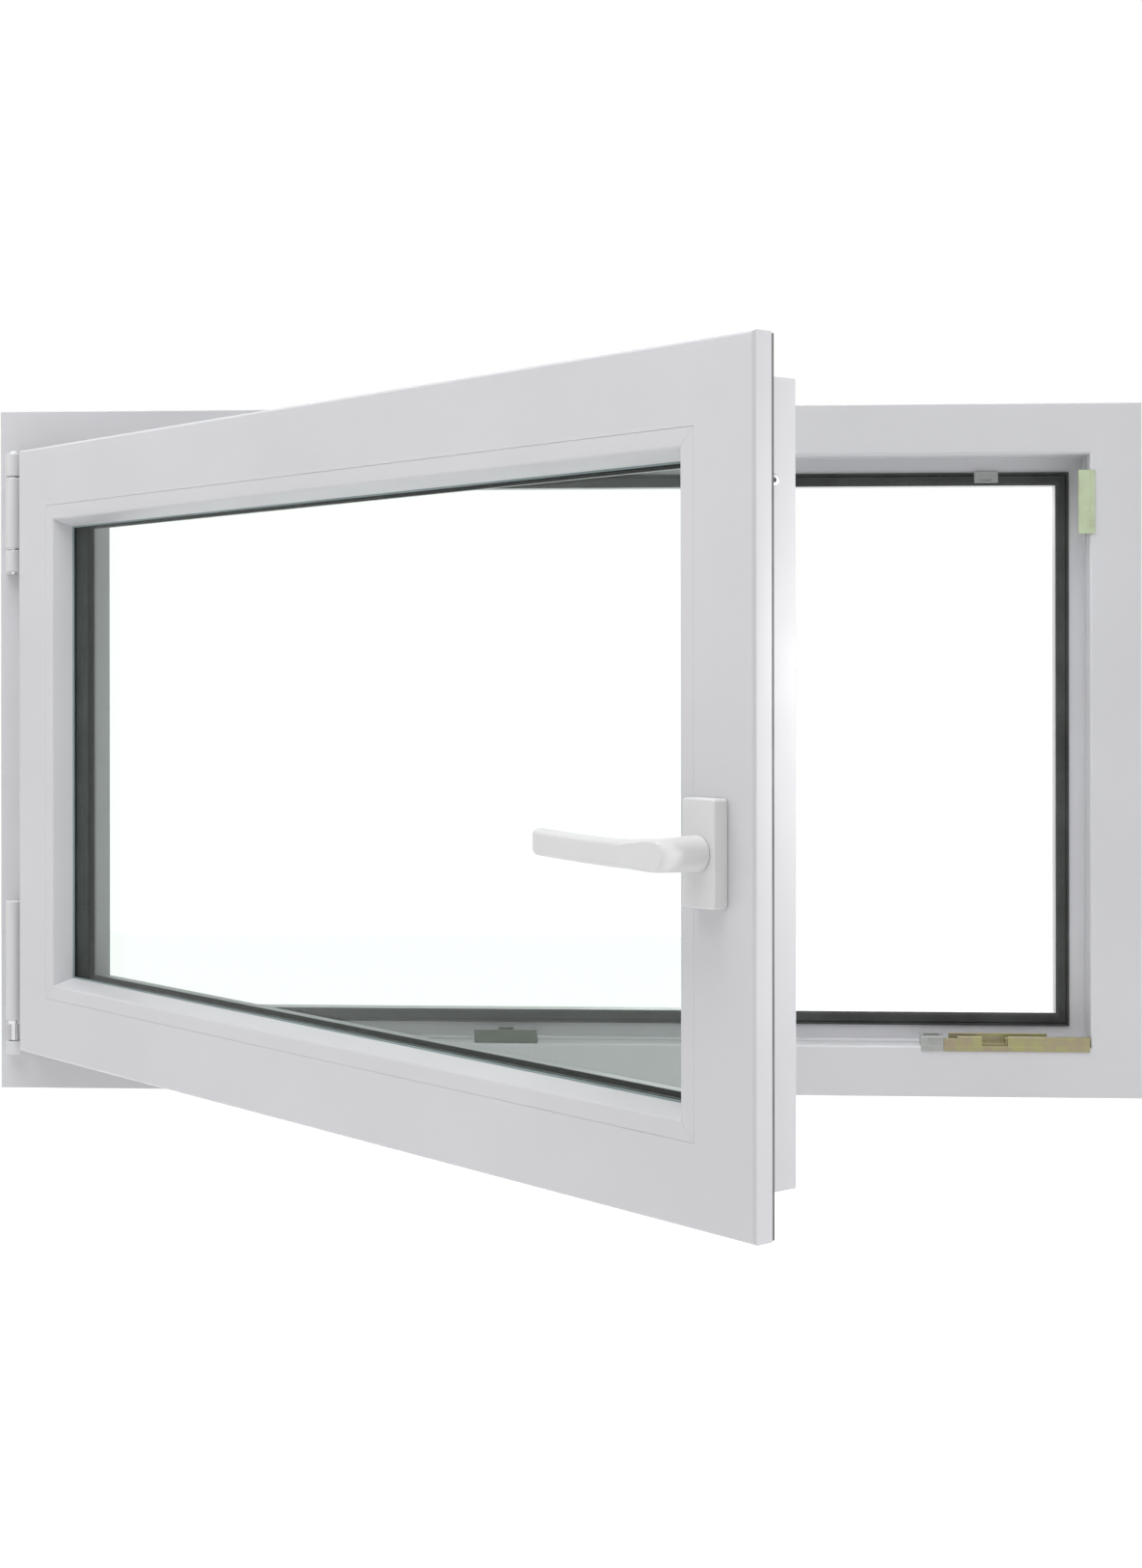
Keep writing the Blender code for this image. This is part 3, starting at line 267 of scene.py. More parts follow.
COAT_WHITE = (0.735, 0.735, 0.735), (0.750, 0.750, 0.750)
COVER_WHITE = (0.67, 0.67, 0.68), (0.69, 0.69, 0.70)
MOULDED_GREY = (0.36, 0.37, 0.36), (0.43, 0.44, 0.43)
CLOUDED_GREY = (0.43, 0.44, 0.43), (0.55, 0.56, 0.54)
HANDLE_COAT = coated("handle_powder_coat", COAT_WHITE, (0.27, 0.31), 0.0011, True)
COVER_PLASTIC = coated("cover_moulding", COVER_WHITE, (0.38, 0.44), 0.0008, True)
ENAMEL = coated("hinge_enamel", COVER_WHITE, (0.28, 0.33), 0.0015, False)
GREY_PLASTIC = coated("grey_moulding", MOULDED_GREY, (0.34, 0.46), 0.0009, False)
CLOUDED_PLASTIC = coated("clouded_moulding", CLOUDED_GREY, (0.20, 0.34), 0.0009, False)
clouded_shader = CLOUDED_PLASTIC.node_tree.nodes["Principled BSDF"]
clouded_shader.inputs["Transmission Weight"].default_value = 0.25
print("coat, enamel and mouldings are mixed;", len(bpy.data.materials), "materials so far")

# %% [markdown]
# ### Rubber
#
# Sealing rubber is matt, nearly black or some grey, with a dusty bloom in patches. The lip under
# the glazing beads is the palest. The plastic spacer between the panes takes the same recipe.

# %% Rubber
def rubber(name, tones, along, turned):
    """Matt rubber between its own tone and its bloom, with lines along X or Z."""
    made = new_material(name, tones[0], 0.6, Specular_IOR_Level=0.35)
    tint(made, pattern(made, 0.045, turned, detail=5.0), *tones)
    vary_gloss(made, pattern(made, 0.006, turned), 0.48, 0.70)
    emboss(made, pattern(made, STREAK[along], turned, detail=2.0), 0.0004, 0.20)
    return made


BLACK = (0.030, 0.032, 0.031), (0.058, 0.062, 0.060)
DEEP_BLACK = (0.022, 0.025, 0.024), (0.045, 0.050, 0.048)
DARK_GREY = (0.130, 0.125, 0.128), (0.190, 0.184, 0.186)
BLUE_GREY = (0.26, 0.33, 0.34), (0.33, 0.40, 0.41)
SOOT = (0.050, 0.056, 0.053), (0.085, 0.095, 0.090)
FRAME_RUBBER = rubber("frame_seal_rubber", BLACK, "X", False)
SASH_RUBBER = rubber("sash_seal_rubber", DARK_GREY, "Z", True)
GLAZING_RUBBER = rubber("glazing_seal_rubber", DEEP_BLACK, "X", True)
BEAD_LIP = rubber("bead_lip_grey", BLUE_GREY, "X", True)
SPACER_BAR = rubber("warm_edge_spacer", SOOT, "X", True)
print("rubbers are mixed;", len(bpy.data.materials), "materials so far")

# %% [markdown]
# ### Steel
#
# Rolled steel has fine lines along the strip. The faceplates are bright with zinc, the drive
# rods behind them are darker, the corner pin is polished, and the reinforcement in the profiles
# is dull, with a spangle of crystals that a Voronoi pattern gives.

# %% Steel
def plated(name, tones, gloss, along, turned):
    """Plated steel with its rolling lines along X or Z."""
    made = new_material(name, tones[1], sum(gloss) / 2, Metallic=1.0)
    tint(made, pattern(made, 0.018, turned, detail=5.0), *tones)
    lines = pattern(made, STREAK[along], turned, detail=3.0)
    vary_gloss(made, lines, *gloss)
    emboss(made, lines, 0.0002, 0.12)
    return made


ZINC = ((0.60, 0.61, 0.62), (0.74, 0.75, 0.76)), (0.20, 0.34)
ROD_STEEL = ((0.30, 0.31, 0.32), (0.40, 0.41, 0.42)), (0.30, 0.44)
POLISHED = ((0.62, 0.62, 0.63), (0.80, 0.80, 0.81)), (0.08, 0.14)
ZINC_UPRIGHT = plated("zinc_plate_upright", *ZINC, "Z", True)
ZINC_LEVEL = plated("zinc_plate_level", *ZINC, "X", True)
ROD_UPRIGHT = plated("rod_steel_upright", *ROD_STEEL, "Z", True)
ROD_LEVEL = plated("rod_steel_level", *ROD_STEEL, "X", True)
CHROME = plated("chrome_pin", *POLISHED, "Z", False)

WIDE_REACH = (0.0, 0.9)
GALVANISED = new_material("galvanised_sheet", (0.55, 0.56, 0.58), 0.45, Metallic=0.9)
spangle = pattern(GALVANISED, 0.006, False, kind="ShaderNodeTexVoronoi")
tint(GALVANISED, spangle, (0.48, 0.49, 0.51), (0.63, 0.64, 0.66), WIDE_REACH)
vary_gloss(GALVANISED, spangle, 0.36, 0.52, WIDE_REACH)
print("steels are plated;", len(bpy.data.materials), "materials so far")

# %% [markdown]
# ### Passivated keepers
#
# The keepers are die-cast zinc with a yellow-green passivation. It is a thin film whose hue
# shifts over the surface, and it takes part of the metal's shine, so the Metallic value lies
# between none and full. The two keepers behind the glass have an olive chromate hue, and their
# tones are made much darker than that film as painted shade, for the glass and sash in front of them.

# %% Passivation
def passivated(name, dark, light, metallic):
    """A chromate film that shifts between two hues over a fine cast grain."""
    made = new_material(name, light, 0.4, Metallic=metallic)
    tint(made, pattern(made, 0.009, False, detail=5.0), dark, light, (0.25, 0.75))
    vary_gloss(made, pattern(made, 0.003, False), 0.30, 0.48)
    emboss(made, pattern(made, 0.0006, False, detail=1.0), 0.0001, 0.25)
    return made


PALE_CHROMATE = passivated("keeper_pale_chromate", (0.43, 0.47, 0.33), (0.50, 0.60, 0.40), 0.35)
GOLD_CHROMATE = passivated("keeper_gold_chromate", (0.29, 0.225, 0.18), (0.31, 0.32, 0.125), 0.5)
# painted shade: these olive tones are darkened to how the keepers look in shade behind the glass
SHADED_OLIVE_CHROMATE = passivated(
    "keeper_olive_chromate_painted_shade", (0.085, 0.095, 0.080), (0.125, 0.14, 0.115), 0.5
)
print("keepers are passivated;", len(bpy.data.materials), "materials so far")

# %% [markdown]
# ### Glass
#
# The panes are real solids, so a transmitting Principled shader bends and tints the light. The
# tint is the grey-green of double glazing, which darkens what stands behind it. A low index of
# refraction keeps the white room's mirror image faint. A lamp's shadow ray would stop at such
# glass, so for those rays alone a tinted Transparent shader takes over. A very soft noise in the
# roughness stands for dust and wiping marks.

# %% Glass
GLASS = new_material(
    "clear_float_glass", (0.800, 0.835, 0.812), 0.0, IOR=1.20, Transmission_Weight=1.0
)
vary_gloss(GLASS, pattern(GLASS, 0.08, True), 0.0, 0.012)
glass_nodes, glass_links = GLASS.node_tree.nodes, GLASS.node_tree.links
lamp_pass = glass_nodes.new("ShaderNodeBsdfTransparent")
lamp_pass.inputs["Color"].default_value = (0.50, 0.56, 0.53, 1.0)
ray = glass_nodes.new("ShaderNodeLightPath")
choice = glass_nodes.new("ShaderNodeMixShader")
glass_links.new(ray.outputs["Is Shadow Ray"], choice.inputs[0])
glass_links.new(glass_nodes["Principled BSDF"].outputs[0], choice.inputs[1])
glass_links.new(lamp_pass.outputs[0], choice.inputs[2])
glass_links.new(choice.outputs[0], glass_nodes["Material Output"].inputs["Surface"])
print(len(bpy.data.materials), "materials")

# %% [markdown]
# ## From a mesh to a finished piece
#
# A finished piece keeps its object at the origin, with its place in its mesh. It is shaded
# smooth with sharp edges where flat faces meet, and a Weighted Normal modifier lets the big
# flat faces win over the small roundings beside them, so that long faces stay perfectly even.
# Then it rides on the CAD body of the node that it stands for.

# %% Finish a piece
MM = 0.001


def finish(bm, name, node, material, swung=False, angle=35.0):
    """Turn a bmesh into a piece that stands for the named CAD node."""
    if swung:
        bmesh.ops.transform(bm, matrix=SWING, verts=bm.verts)
    mesh = bpy.data.meshes.new(name)
    bm.to_mesh(mesh)
    bm.free()
    mesh.shade_smooth()
    mesh.set_sharp_from_angle(angle=math.radians(angle))
    mesh.materials.append(material)
    piece = bpy.data.objects.new(name, mesh)
    bpy.context.scene.collection.objects.link(piece)
    piece.modifiers.new("even flats", "WEIGHTED_NORMAL").keep_sharp = True
    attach(piece, BODY_OF[node])
    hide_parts(node)
    print(f"{name}: {len(mesh.polygons)} faces")

# %% [markdown]
# ## Join and cut
#
# Loose shells of one piece are simply merged. Where shapes run into each other, Blender's exact
# Boolean modifier joins or cuts them. It works on objects, so the bmeshes are put on passing
# objects, the result is read back from the evaluated mesh, and those objects are removed.

# %% Merge and solve
def merge(target, source, matrix=Matrix.Identity(4)):
    """Place one bmesh in another, and free the one that was added."""
    bmesh.ops.transform(source, matrix=matrix, verts=source.verts)
    carrier = bpy.data.meshes.new("carrier")
    source.to_mesh(carrier)
    source.free()
    target.from_mesh(carrier)
    bpy.data.meshes.remove(carrier)


def solve(bm, tools, operation):
    """Cut or join closed bmeshes with Blender's exact Boolean, and return the result."""
    carriers = []
    for source in (bm, *tools):
        mesh = bpy.data.meshes.new("solid")
        source.to_mesh(mesh)
        source.free()
        carriers.append(bpy.data.objects.new("solid", mesh))
        bpy.context.scene.collection.objects.link(carriers[-1])
    body = carriers[0]
    for tool in carriers[1:]:
        step = body.modifiers.new("solve", "BOOLEAN")
        step.operation, step.solver, step.object = operation, "EXACT", tool
    solved = body.evaluated_get(bpy.context.evaluated_depsgraph_get())
    result = bmesh.new()
    result.from_mesh(solved.to_mesh())
    solved.to_mesh_clear()
    for carrier in carriers:
        bpy.data.meshes.remove(carrier.data)
    return result

# %% [markdown]
# ## Solids to build with
#
# Two small makers cover most fittings: a block with eased edges and a bar with eased rims. Both
# start as one of Blender's own solids, and the Bevel operator rounds them over.

# %% Block and bar
FLUSH = 1e-7
WELD = 1e-6


def ease(bm, edges, width, segments=2):
    """Round some edges over."""
    bmesh.ops.bevel(
        bm,
        geom=edges,
        offset=width,
        offset_type="OFFSET",
        segments=segments,
        profile=0.5,
        affect="EDGES",
        clamp_overlap=True,
        material=-1,
    )


def block(low, high, easing=0.0, segments=2):
    """A block between two corners."""
    bm = bmesh.new()
    low, high = Vector(low), Vector(high)
    bmesh.ops.create_cube(bm, size=1.0)
    bmesh.ops.scale(bm, vec=high - low, verts=bm.verts)
    bmesh.ops.translate(bm, vec=(low + high) / 2, verts=bm.verts)
    if easing:
        ease(bm, bm.edges[:], easing, segments)
    return bm


def climb(edge):
    """How far an edge climbs along Z."""
    return abs(edge.verts[0].co.z - edge.verts[1].co.z)


TURN_TO = {
    "X": Matrix.Rotation(math.radians(90), 4, "Y"),
    "Y": Matrix.Rotation(math.radians(-90), 4, "X"),
    "Z": Matrix.Identity(4),
}


def bar(centre, radius, axis, length, easing=0.0, sides=48):
    """A round bar about its centre, along X, Y or Z."""
    bm = bmesh.new()
    bmesh.ops.create_cone(
        bm, cap_ends=True, segments=sides, radius1=radius, radius2=radius, depth=length
    )
    if easing:
        ease(bm, [e for e in bm.edges if climb(e) < FLUSH], easing, 3)
    bmesh.ops.transform(bm, matrix=Matrix.Translation(centre) @ TURN_TO[axis], verts=bm.verts)
    return bm

# %% [markdown]
# ## Extruded profiles
#
# Every long part of the window starts as an outline across the profile: how far it lies inside
# the outer edge, and how deep behind the room-side face. Pulling the outline out gives a tube,
# and its long edges are eased. The saw then cuts both ends, at 45 degrees for a mitre, and the
# cuts are filled. Chambers inside are tubes of their own, and the fill leaves their mouths open.

# %% Pull out and saw a profile
SPARE = 0.01


def pull_out(bm, outline, reach):
    """Pull a closed outline of (inset, depth, easing) corners in millimetres out along Z."""
    loop = [bm.verts.new((x * MM, y * MM, -reach)) for x, y, _ in outline]
    rim = [bm.edges.new((v, loop[(i + 1) % len(loop)])) for i, v in enumerate(loop)]
    pulled = bmesh.ops.extrude_edge_only(bm, edges=rim)["geom"]
    far = [part for part in pulled if isinstance(part, bmesh.types.BMVert)]
    bmesh.ops.translate(bm, vec=(0, 0, 2 * reach), verts=far)
    for easing in sorted({corner[2] for corner in outline if corner[2]}):
        edges = [
            edge
            for vert, corner in zip(loop, outline)
            if corner[2] == easing
            for edge in vert.link_edges
            if climb(edge) > reach
        ]
        ease(bm, edges, easing * MM, 3)


def saw(bm, reach, slope=1.0, filled=True):
    """Cut both ends off, at 45 degrees or square (slope 0), and fill the cuts."""
    for end in (1, -1):
        normal = Vector((slope, 0, end))
        cut = bmesh.ops.bisect_plane(
            bm,
            geom=bm.verts[:] + bm.edges[:] + bm.faces[:],
            dist=FLUSH,
            plane_co=(0, 0, end * reach),
            plane_no=normal,
            clear_outer=True,
        )
        if filled:
            rim = [part for part in cut["geom_cut"] if isinstance(part, bmesh.types.BMEdge)]
            bmesh.ops.triangle_fill(bm, edges=rim, normal=normal, use_beauty=True)

# %% [markdown]
# ### Four sides of a ring
#
# Frame, sash, beads and seals all go round a rectangle. Each side has a direction inwards and
# one along it, and those two place a sawn profile. Members that are welded or pushed together
# stay four closed pieces. A gasket is one endless strip, so its four runs are left unfilled and
# their ends are merged.

# %% Mitred members and rings
SIDES = {
    "bottom": (Vector((0, 0, 1)), Vector((-1, 0, 0))),
    "top": (Vector((0, 0, -1)), Vector((1, 0, 0))),
    "hinge": (Vector((1, 0, 0)), Vector((0, 0, 1))),
    "lock": (Vector((-1, 0, 0)), Vector((0, 0, -1))),
}
RUNS = {"bottom": "rails", "top": "rails", "hinge": "jambs", "lock": "jambs"}
BACKWARDS = Vector((0, 1, 0))


def turn_onto(first, second, third):
    """The turn that lays local X, Y and Z on three directions."""
    return Matrix((first, second, third)).transposed().to_4x4()


def side_place(box, side):
    """Where a side's profile goes in a ring of this box, and half the length of that side."""
    inwards, along = SIDES[side]
    low, high = box
    middle = Vector(((low.x + high.x) / 2, low.y, (low.z + high.z) / 2))
    edge = middle - inwards * abs((high - low).dot(inwards)) / 2
    turn = turn_onto(inwards, BACKWARDS, along)
    return Matrix.Translation(edge) @ turn, abs((high - low).dot(along)) / 2


def mitred_side(box, side, outlines, gap=0.0):
    """One closed, mitred member of a ring."""
    place, half = side_place(box, side)
    bm = bmesh.new()
    for outline in outlines:
        pull_out(bm, outline, half + SPARE)
    saw(bm, half - gap)
    bmesh.ops.recalc_face_normals(bm, faces=bm.faces)
    bmesh.ops.transform(bm, matrix=place, verts=bm.verts)
    return bm


def mitred_ring(box, outline):
    """Four mitred runs joined into one endless ring, as a gasket with welded corners is."""
    bm = bmesh.new()
    for side in SIDES:
        place, half = side_place(box, side)
        run = bmesh.new()
        pull_out(run, outline, half + SPARE)
        saw(run, half, filled=False)
        merge(bm, run, place)
    bmesh.ops.remove_doubles(bm, verts=bm.verts, dist=WELD)
    bmesh.ops.recalc_face_normals(bm, faces=bm.faces)
    return bm

# %% [markdown]
# ## The outer frame
#
# Four mitred members are welded into a rectangle. On the real window the welds are ground off
# until they hardly show, so the members meet face to face here, with no gap. The face turns
# into the rebate over a 3 mm rounding, then comes the stop lip that the seal sits on. Two slots
# in the sill's weather face let water out.

# %% Frame members
FRAME_OUTLINE = [
    (0, 0, 1.0),
    (44, 0, 2.6),
    (44, 21, 0),
    (41, 21, 0),
    (41, 25, 0),
    (44, 25, 0),
    (44, 40, 0.4),
    (68, 40, 1.5),
    (68, 60, 2.5),
    (0, 60, 1.0),
]
DRAIN_LOW, DRAIN_HIGH = Vector((-0.0125, -0.006, -0.0035)), Vector((0.0125, 0.003, 0.0015))


def chamber(x_range, y_range):
    """The outline of a hollow inside a profile, between two insets and two depths."""
    (near, far), (front, back) = x_range, y_range
    return [(x, y, 0.4) for x, y in ((near, front), (far, front), (far, back), (near, back))]


def drain_slot(cap):
    """The slot behind a drain cap."""
    low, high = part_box(cap)
    middle = (low + high) / 2
    middle.y = FRAME_BOX[1].y
    return block(middle + DRAIN_LOW, middle + DRAIN_HIGH)


FRAME_CHAMBERS = [chamber((4, 38), (4, 37.5)), chamber((4, 64.5), (43.5, 57))]
for side, node in FRAME_NODES.items():
    member = mitred_side(FRAME_BOX, side, [FRAME_OUTLINE, *FRAME_CHAMBERS])
    if side == "bottom":
        slots = [drain_slot("drain_cap_hinge"), drain_slot("drain_cap_lock")]
        member = solve(member, slots, "DIFFERENCE")
    finish(member, f"{node}_profile", node, UPVC["frame", RUNS[side]])

# %% [markdown]
# ## The sash members
#
# The sash has a lip that laps over the frame, a groove for the fittings in its outer edge and
# an outer leg behind the glass. The lock stile is also milled for the gearbox and bored for the
# spindle and the handle's screws.

# %% Sash members
SASH_OUTLINE = [
    (0, 0, 2.6),
    (51, 0, 0.3),
    (51, 40, 0),
    (69, 40, 2.6),
    (69, 56, 2.2),
    (22, 56, 0.9),
    (22, 36, 0.3),
    (23, 36, 0),
    (23, 33, 0),
    (32, 33, 0),
    (32, 23, 0),
    (23, 23, 0),
    (23, 20, 0),
    (22, 20, 0.3),
    (22, 15, 0.5),
    (0, 15, 1.0),
]
SASH_CHAMBERS = [
    chamber((4, 32), (4, 11.5)),
    chamber((35, 48), (4, 36.5)),
    chamber((25.5, 65), (43.5, 53)),
]
SPINDLE = SWING.inverted() @ Vector(JOINT["handle_turn"]["pos_m"])
SASH_FACE_Y = SASH_BOX[0].y
SPINDLE_BORE, SCREW_BORE, SCREW_RISE = 0.0065, 0.0029, 0.0215
GEARBOX_POCKET_END = SASH_BOX[1].x - 0.0175


def lock_stile_tools():
    """The gearbox pocket, the spindle's bore and the two screw bores."""
    low, high = shut_box("gearbox_case")
    gap = Vector((0.0003, 0.0003, 0.0003))
    tools = [block(low - gap, Vector((GEARBOX_POCKET_END, high.y, high.z)) + gap)]
    bores = ((0.0, SPINDLE_BORE), (SCREW_RISE, SCREW_BORE), (-SCREW_RISE, SCREW_BORE))
    for rise, radius in bores:
        front, back = SASH_FACE_Y - 0.005, low.y + 0.001
        centre = (SPINDLE.x, (front + back) / 2, SPINDLE.z + rise)
        tools.append(bar(centre, radius, "Y", back - front, sides=32))
    return tools


for side, node in SASH_NODES.items():
    member = mitred_side(SASH_BOX, side, [SASH_OUTLINE, *SASH_CHAMBERS])
    if side == "lock":
        member = solve(member, lock_stile_tools(), "DIFFERENCE")
    finish(member, f"{node}_profile", node, UPVC["sash", RUNS[side]], swung=True)

# %% [markdown]
# ## Glazing beads
#
# The beads snap in around the glass from the room. Each has a flat nose in line with the sash,
# a long slope down to the pane and a foot in the glazing groove. They are cut to length and
# pushed in, not welded, so a hairline stays open at each mitre and along the sash.

# %% Beads
BEAD_OUTLINE = [
    (51.1, 0.1, 0.25),
    (63, 0.1, 1.5),
    (66.4, 8.0, 2.0),
    (69, 15.7, 0.5),
    (69, 16.5, 0),
    (56, 16.5, 0),
    (56, 19.5, 0),
    (51.1, 19.5, 0),
]
HAIRLINE = 0.00008
for side in SIDES:
    node = f"glazing_bead_{side}"
    bead = mitred_side(SASH_BOX, side, [BEAD_OUTLINE], gap=HAIRLINE)
    finish(bead, f"{node}_strip", node, UPVC["sash", RUNS[side]], swung=True)

# %% [markdown]
# ## The frame's seal
#
# A seal is one endless strip with lips. This one sits on the stop: a thin flange, a groove and
# a soft bulb that the sash presses on. A block cuts it away where the clip sits in the head.

# %% Frame seal
FRAME_SEAL_OUTLINE = [
    (56.5, 39.7, 0),
    (56.5, 38.3, 0.3),
    (58.3, 38.2, 0.3),
    (59.0, 39.0, 0.1),
    (59.8, 37.6, 0.4),
    (65.6, 37.4, 0.8),
    (68.0, 38.6, 0.3),
    (68.0, 39.7, 0),
]
clip_low, clip_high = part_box("head_vent_clip")
room = Vector((0.0003, 0.001, 0.0003))
clip_room = block(clip_low - room, clip_high + room)
seal = solve(mitred_ring(FRAME_BOX, FRAME_SEAL_OUTLINE), [clip_room], "DIFFERENCE")
finish(seal, "frame_stop_seal", "frame_stop_gasket", FRAME_RUBBER)

# %% [markdown]
# ## The sash's seal
#
# This seal sits behind the sash's lip and closes on the frame's face. The two hinges pass
# through it, so the ring is cut away along the hinge side, and a straight piece is pushed in
# between them.

# %% Sash seals
SASH_SEAL_OUTLINE = [
    (0.8, 15.3, 0),
    (9.0, 15.3, 0),
    (9.0, 16.2, 0.3),
    (5.0, 16.4, 0.3),
    (2.0, 17.5, 0.3),
    (0.8, 17.1, 0.3),
]
long_low, long_high = shut_box("sash_gasket_hinge")
strap_bottom, arm_top = shut_box("sash_hinge_strap")[0].z, shut_box("stay_arm")[1].z
gap_low = (SASH_BOX[0].x - 0.001, long_low.y - 0.001, strap_bottom - 0.002)
gap_high = (long_high.x + 0.0003, long_high.y + 0.001, arm_top + 0.001)
hinge_gap = block(gap_low, gap_high)
seal = solve(mitred_ring(SASH_BOX, SASH_SEAL_OUTLINE), [hinge_gap], "DIFFERENCE")
finish(seal, "sash_lip_seal", "sash_gasket", SASH_RUBBER, swung=True)

place, half = side_place(SASH_BOX, "hinge")
seal = bmesh.new()
pull_out(seal, SASH_SEAL_OUTLINE, half)
saw(seal, (long_high.z - long_low.z) / 2, slope=0.0)
bmesh.ops.recalc_face_normals(seal, faces=seal.faces)
rise = (long_high.z + long_low.z - SASH_BOX[0].z - SASH_BOX[1].z) / 2
bmesh.ops.transform(seal, matrix=place @ Matrix.Translation((0, 0, rise)), verts=seal.verts)
finish(seal, "sash_lip_seal_hinge_side", "sash_gasket_hinge", SASH_RUBBER, swung=True)

# %% [markdown]
# ## Around the glass
#
# The inner seal is the grey lip that shows between beads and pane, and the outer one is black.
# The spacer holds the two panes apart. It is a bar with rounded corners and a groove along the
# middle of the side that faces the daylight.

# %% Glazing seals and spacer
INNER_SEAL = [(60, 16.8, 0), (70.1, 16.8, 0.25), (70.2, 17.6, 0.25), (60, 17.6, 0)]
OUTER_SEAL = [(60, 38.7, 0), (70.4, 38.7, 0.25), (70.5, 39.7, 0.3), (60, 39.7, 0)]
SPACER = [
    (61.1, 22.2, 0),
    (66.9, 22.2, 0.4),
    (68.0, 23.4, 0.5),
    (68.0, 27.4, 0.1),
    (67.6, 27.7, 0.1),
    (67.6, 28.6, 0.1),
    (68.0, 28.9, 0.1),
    (68.0, 32.9, 0.5),
    (66.9, 34.1, 0.4),
    (61.1, 34.1, 0),
]
for outline, node, name, material, slot in (
    (INNER_SEAL, "glazing_gasket_inner", "inner_glazing_seal", BEAD_LIP, "gasket_grey"),
    (OUTER_SEAL, "glazing_gasket_outer", "outer_glazing_seal", GLAZING_RUBBER, "gasket_black"),
    (SPACER, "glass_spacer", "spacer_bar", SPACER_BAR, "gasket_black"),
):
    finish(mitred_ring(SASH_BOX, outline), name, node, material, swung=True)

# %% [markdown]
# ## Plastic fittings on the frame
#
# Two caps cover the drainage slots on the weather side: little hoods, open below. A clip
# interrupts the seal in the head and lets a trickle of air through; it has a raised rim and a
# slit.

# %% Drain caps and vent clip
def hood(low, high):
    """A drain cap: a block with a sloping brow, hollowed from below and from the frame's side."""
    bm = block(low, high)
    brow = [v for v in bm.verts if v.co.y > high.y - WELD and v.co.z > high.z - WELD]
    bmesh.ops.translate(bm, vec=(0, 0, -0.0028), verts=brow)
    ease(bm, bm.edges[:], 0.0009, 3)
    hollow_low = low + Vector((0.0014, -0.001, -0.0026))
    hollow_high = high - Vector((0.0014, 0.0014, 0.0038))
    return solve(bm, [block(hollow_low, hollow_high)], "DIFFERENCE")


for side in ("hinge", "lock"):
    node = f"drain_cap_{side}"
    finish(hood(*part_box(node)), f"{node}_hood", node, COVER_PLASTIC)

clip = block(clip_low, clip_high, 0.0005, 3)
slit_middle = (clip_low + clip_high) / 2
slit_middle.y = clip_low.y
slit_low, slit_high = Vector((-0.0045, -0.002, -0.0036)), Vector((0.0045, 0.0008, -0.0018))
clip = solve(clip, [block(slit_middle + slit_low, slit_middle + slit_high)], "DIFFERENCE")
finish(clip, "head_vent_clip_moulding", "head_vent_clip", GREY_PLASTIC)

# %% [markdown]
# ## Keepers
#
# Each locking cam of the sash runs into a keeper on the frame. A keeper is a die casting: a
# base with screws, a wall on the room side that holds the cam and a low ledge behind. It is
# easiest to draw the section across it, pull it out along the frame and mill what is missing.
# All of them are drawn in millimetres in one local frame, which is then laid on the rebate.

# %% A keeper's place and its runs
REBATE_EDGE = 44.0
CORNER_ANGLE = 0.9
RISE = {"bottom": (0, 0, 1), "top": (0, 0, -1), "lock": (-1, 0, 0)}
REACH = {"bottom": (1, 0, 0), "top": (1, 0, 0), "lock": (0, 0, 1)}


def rebate_place(side, node):
    """Local X rises off the rebate, Y goes back from the frame's face, Z runs along it."""
    rise, reach = Vector(RISE[side]), Vector(REACH[side])
    low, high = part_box(node)
    outer = FRAME_BOX[1] if side in ("top", "lock") else FRAME_BOX[0]
    start = Vector((0.0, FRAME_BOX[0].y, 0.0)) + reach * low.dot(reach)
    start += Vector((abs(c) * outer[i] for i, c in enumerate(rise))) + rise * REBATE_EDGE * MM
    length = (high - low).dot(reach) / MM
    return Matrix.Translation(start) @ turn_onto(rise, BACKWARDS, reach), length


def mm_block(x_range, y_range, z_range, easing=0.0, segments=2):
    """A block given by three ranges in millimetres."""
    corners = (Vector(c) * MM for c in zip(x_range, y_range, z_range))
    return block(*corners, easing * MM, segments)


def run_out(outline, start, end, easing=0.0):
    """A closed outline in millimetres, pulled out from one height along Z to another."""
    bm = bmesh.new()
    reach = (end - start) / 2 * MM
    pull_out(bm, outline, reach + SPARE)
    saw(bm, reach, slope=0.0)
    bmesh.ops.recalc_face_normals(bm, faces=bm.faces)
    if easing:
        level = [e for e in bm.edges if len(e.link_faces) == 2 and climb(e) < FLUSH]
        ease(bm, [e for e in level if e.calc_face_angle(0) > CORNER_ANGLE], easing * MM, 2)
    bmesh.ops.translate(bm, vec=(0, 0, (start + end) / 2 * MM), verts=bm.verts)
    return bm

# %% [markdown]
# ### Ledges and screws
#
# The ledge is a second run behind the wall, with a front that leans back a little. The screws
# are real shapes as well: a countersink is cut, and a head with a cross in it is set inside, so
# that the light catches its rim.

# %% Ledges and screws
LEDGE_BACK = 18.8
BASE_TOP, SCREW_ROW = 1.8, 9.8
CROSS_DEPTH = 0.36


def ledge(height, foot, crest, rounds, start, end, easing):
    """A low wall behind the cam's path, whose front leans from its foot to its crest."""
    front = [(1.0, foot, 0), (height, crest, rounds[0])]
    back = [(height, LEDGE_BACK, rounds[1]), (1.0, LEDGE_BACK, 0)]
    return run_out(front + back, start, end, easing)


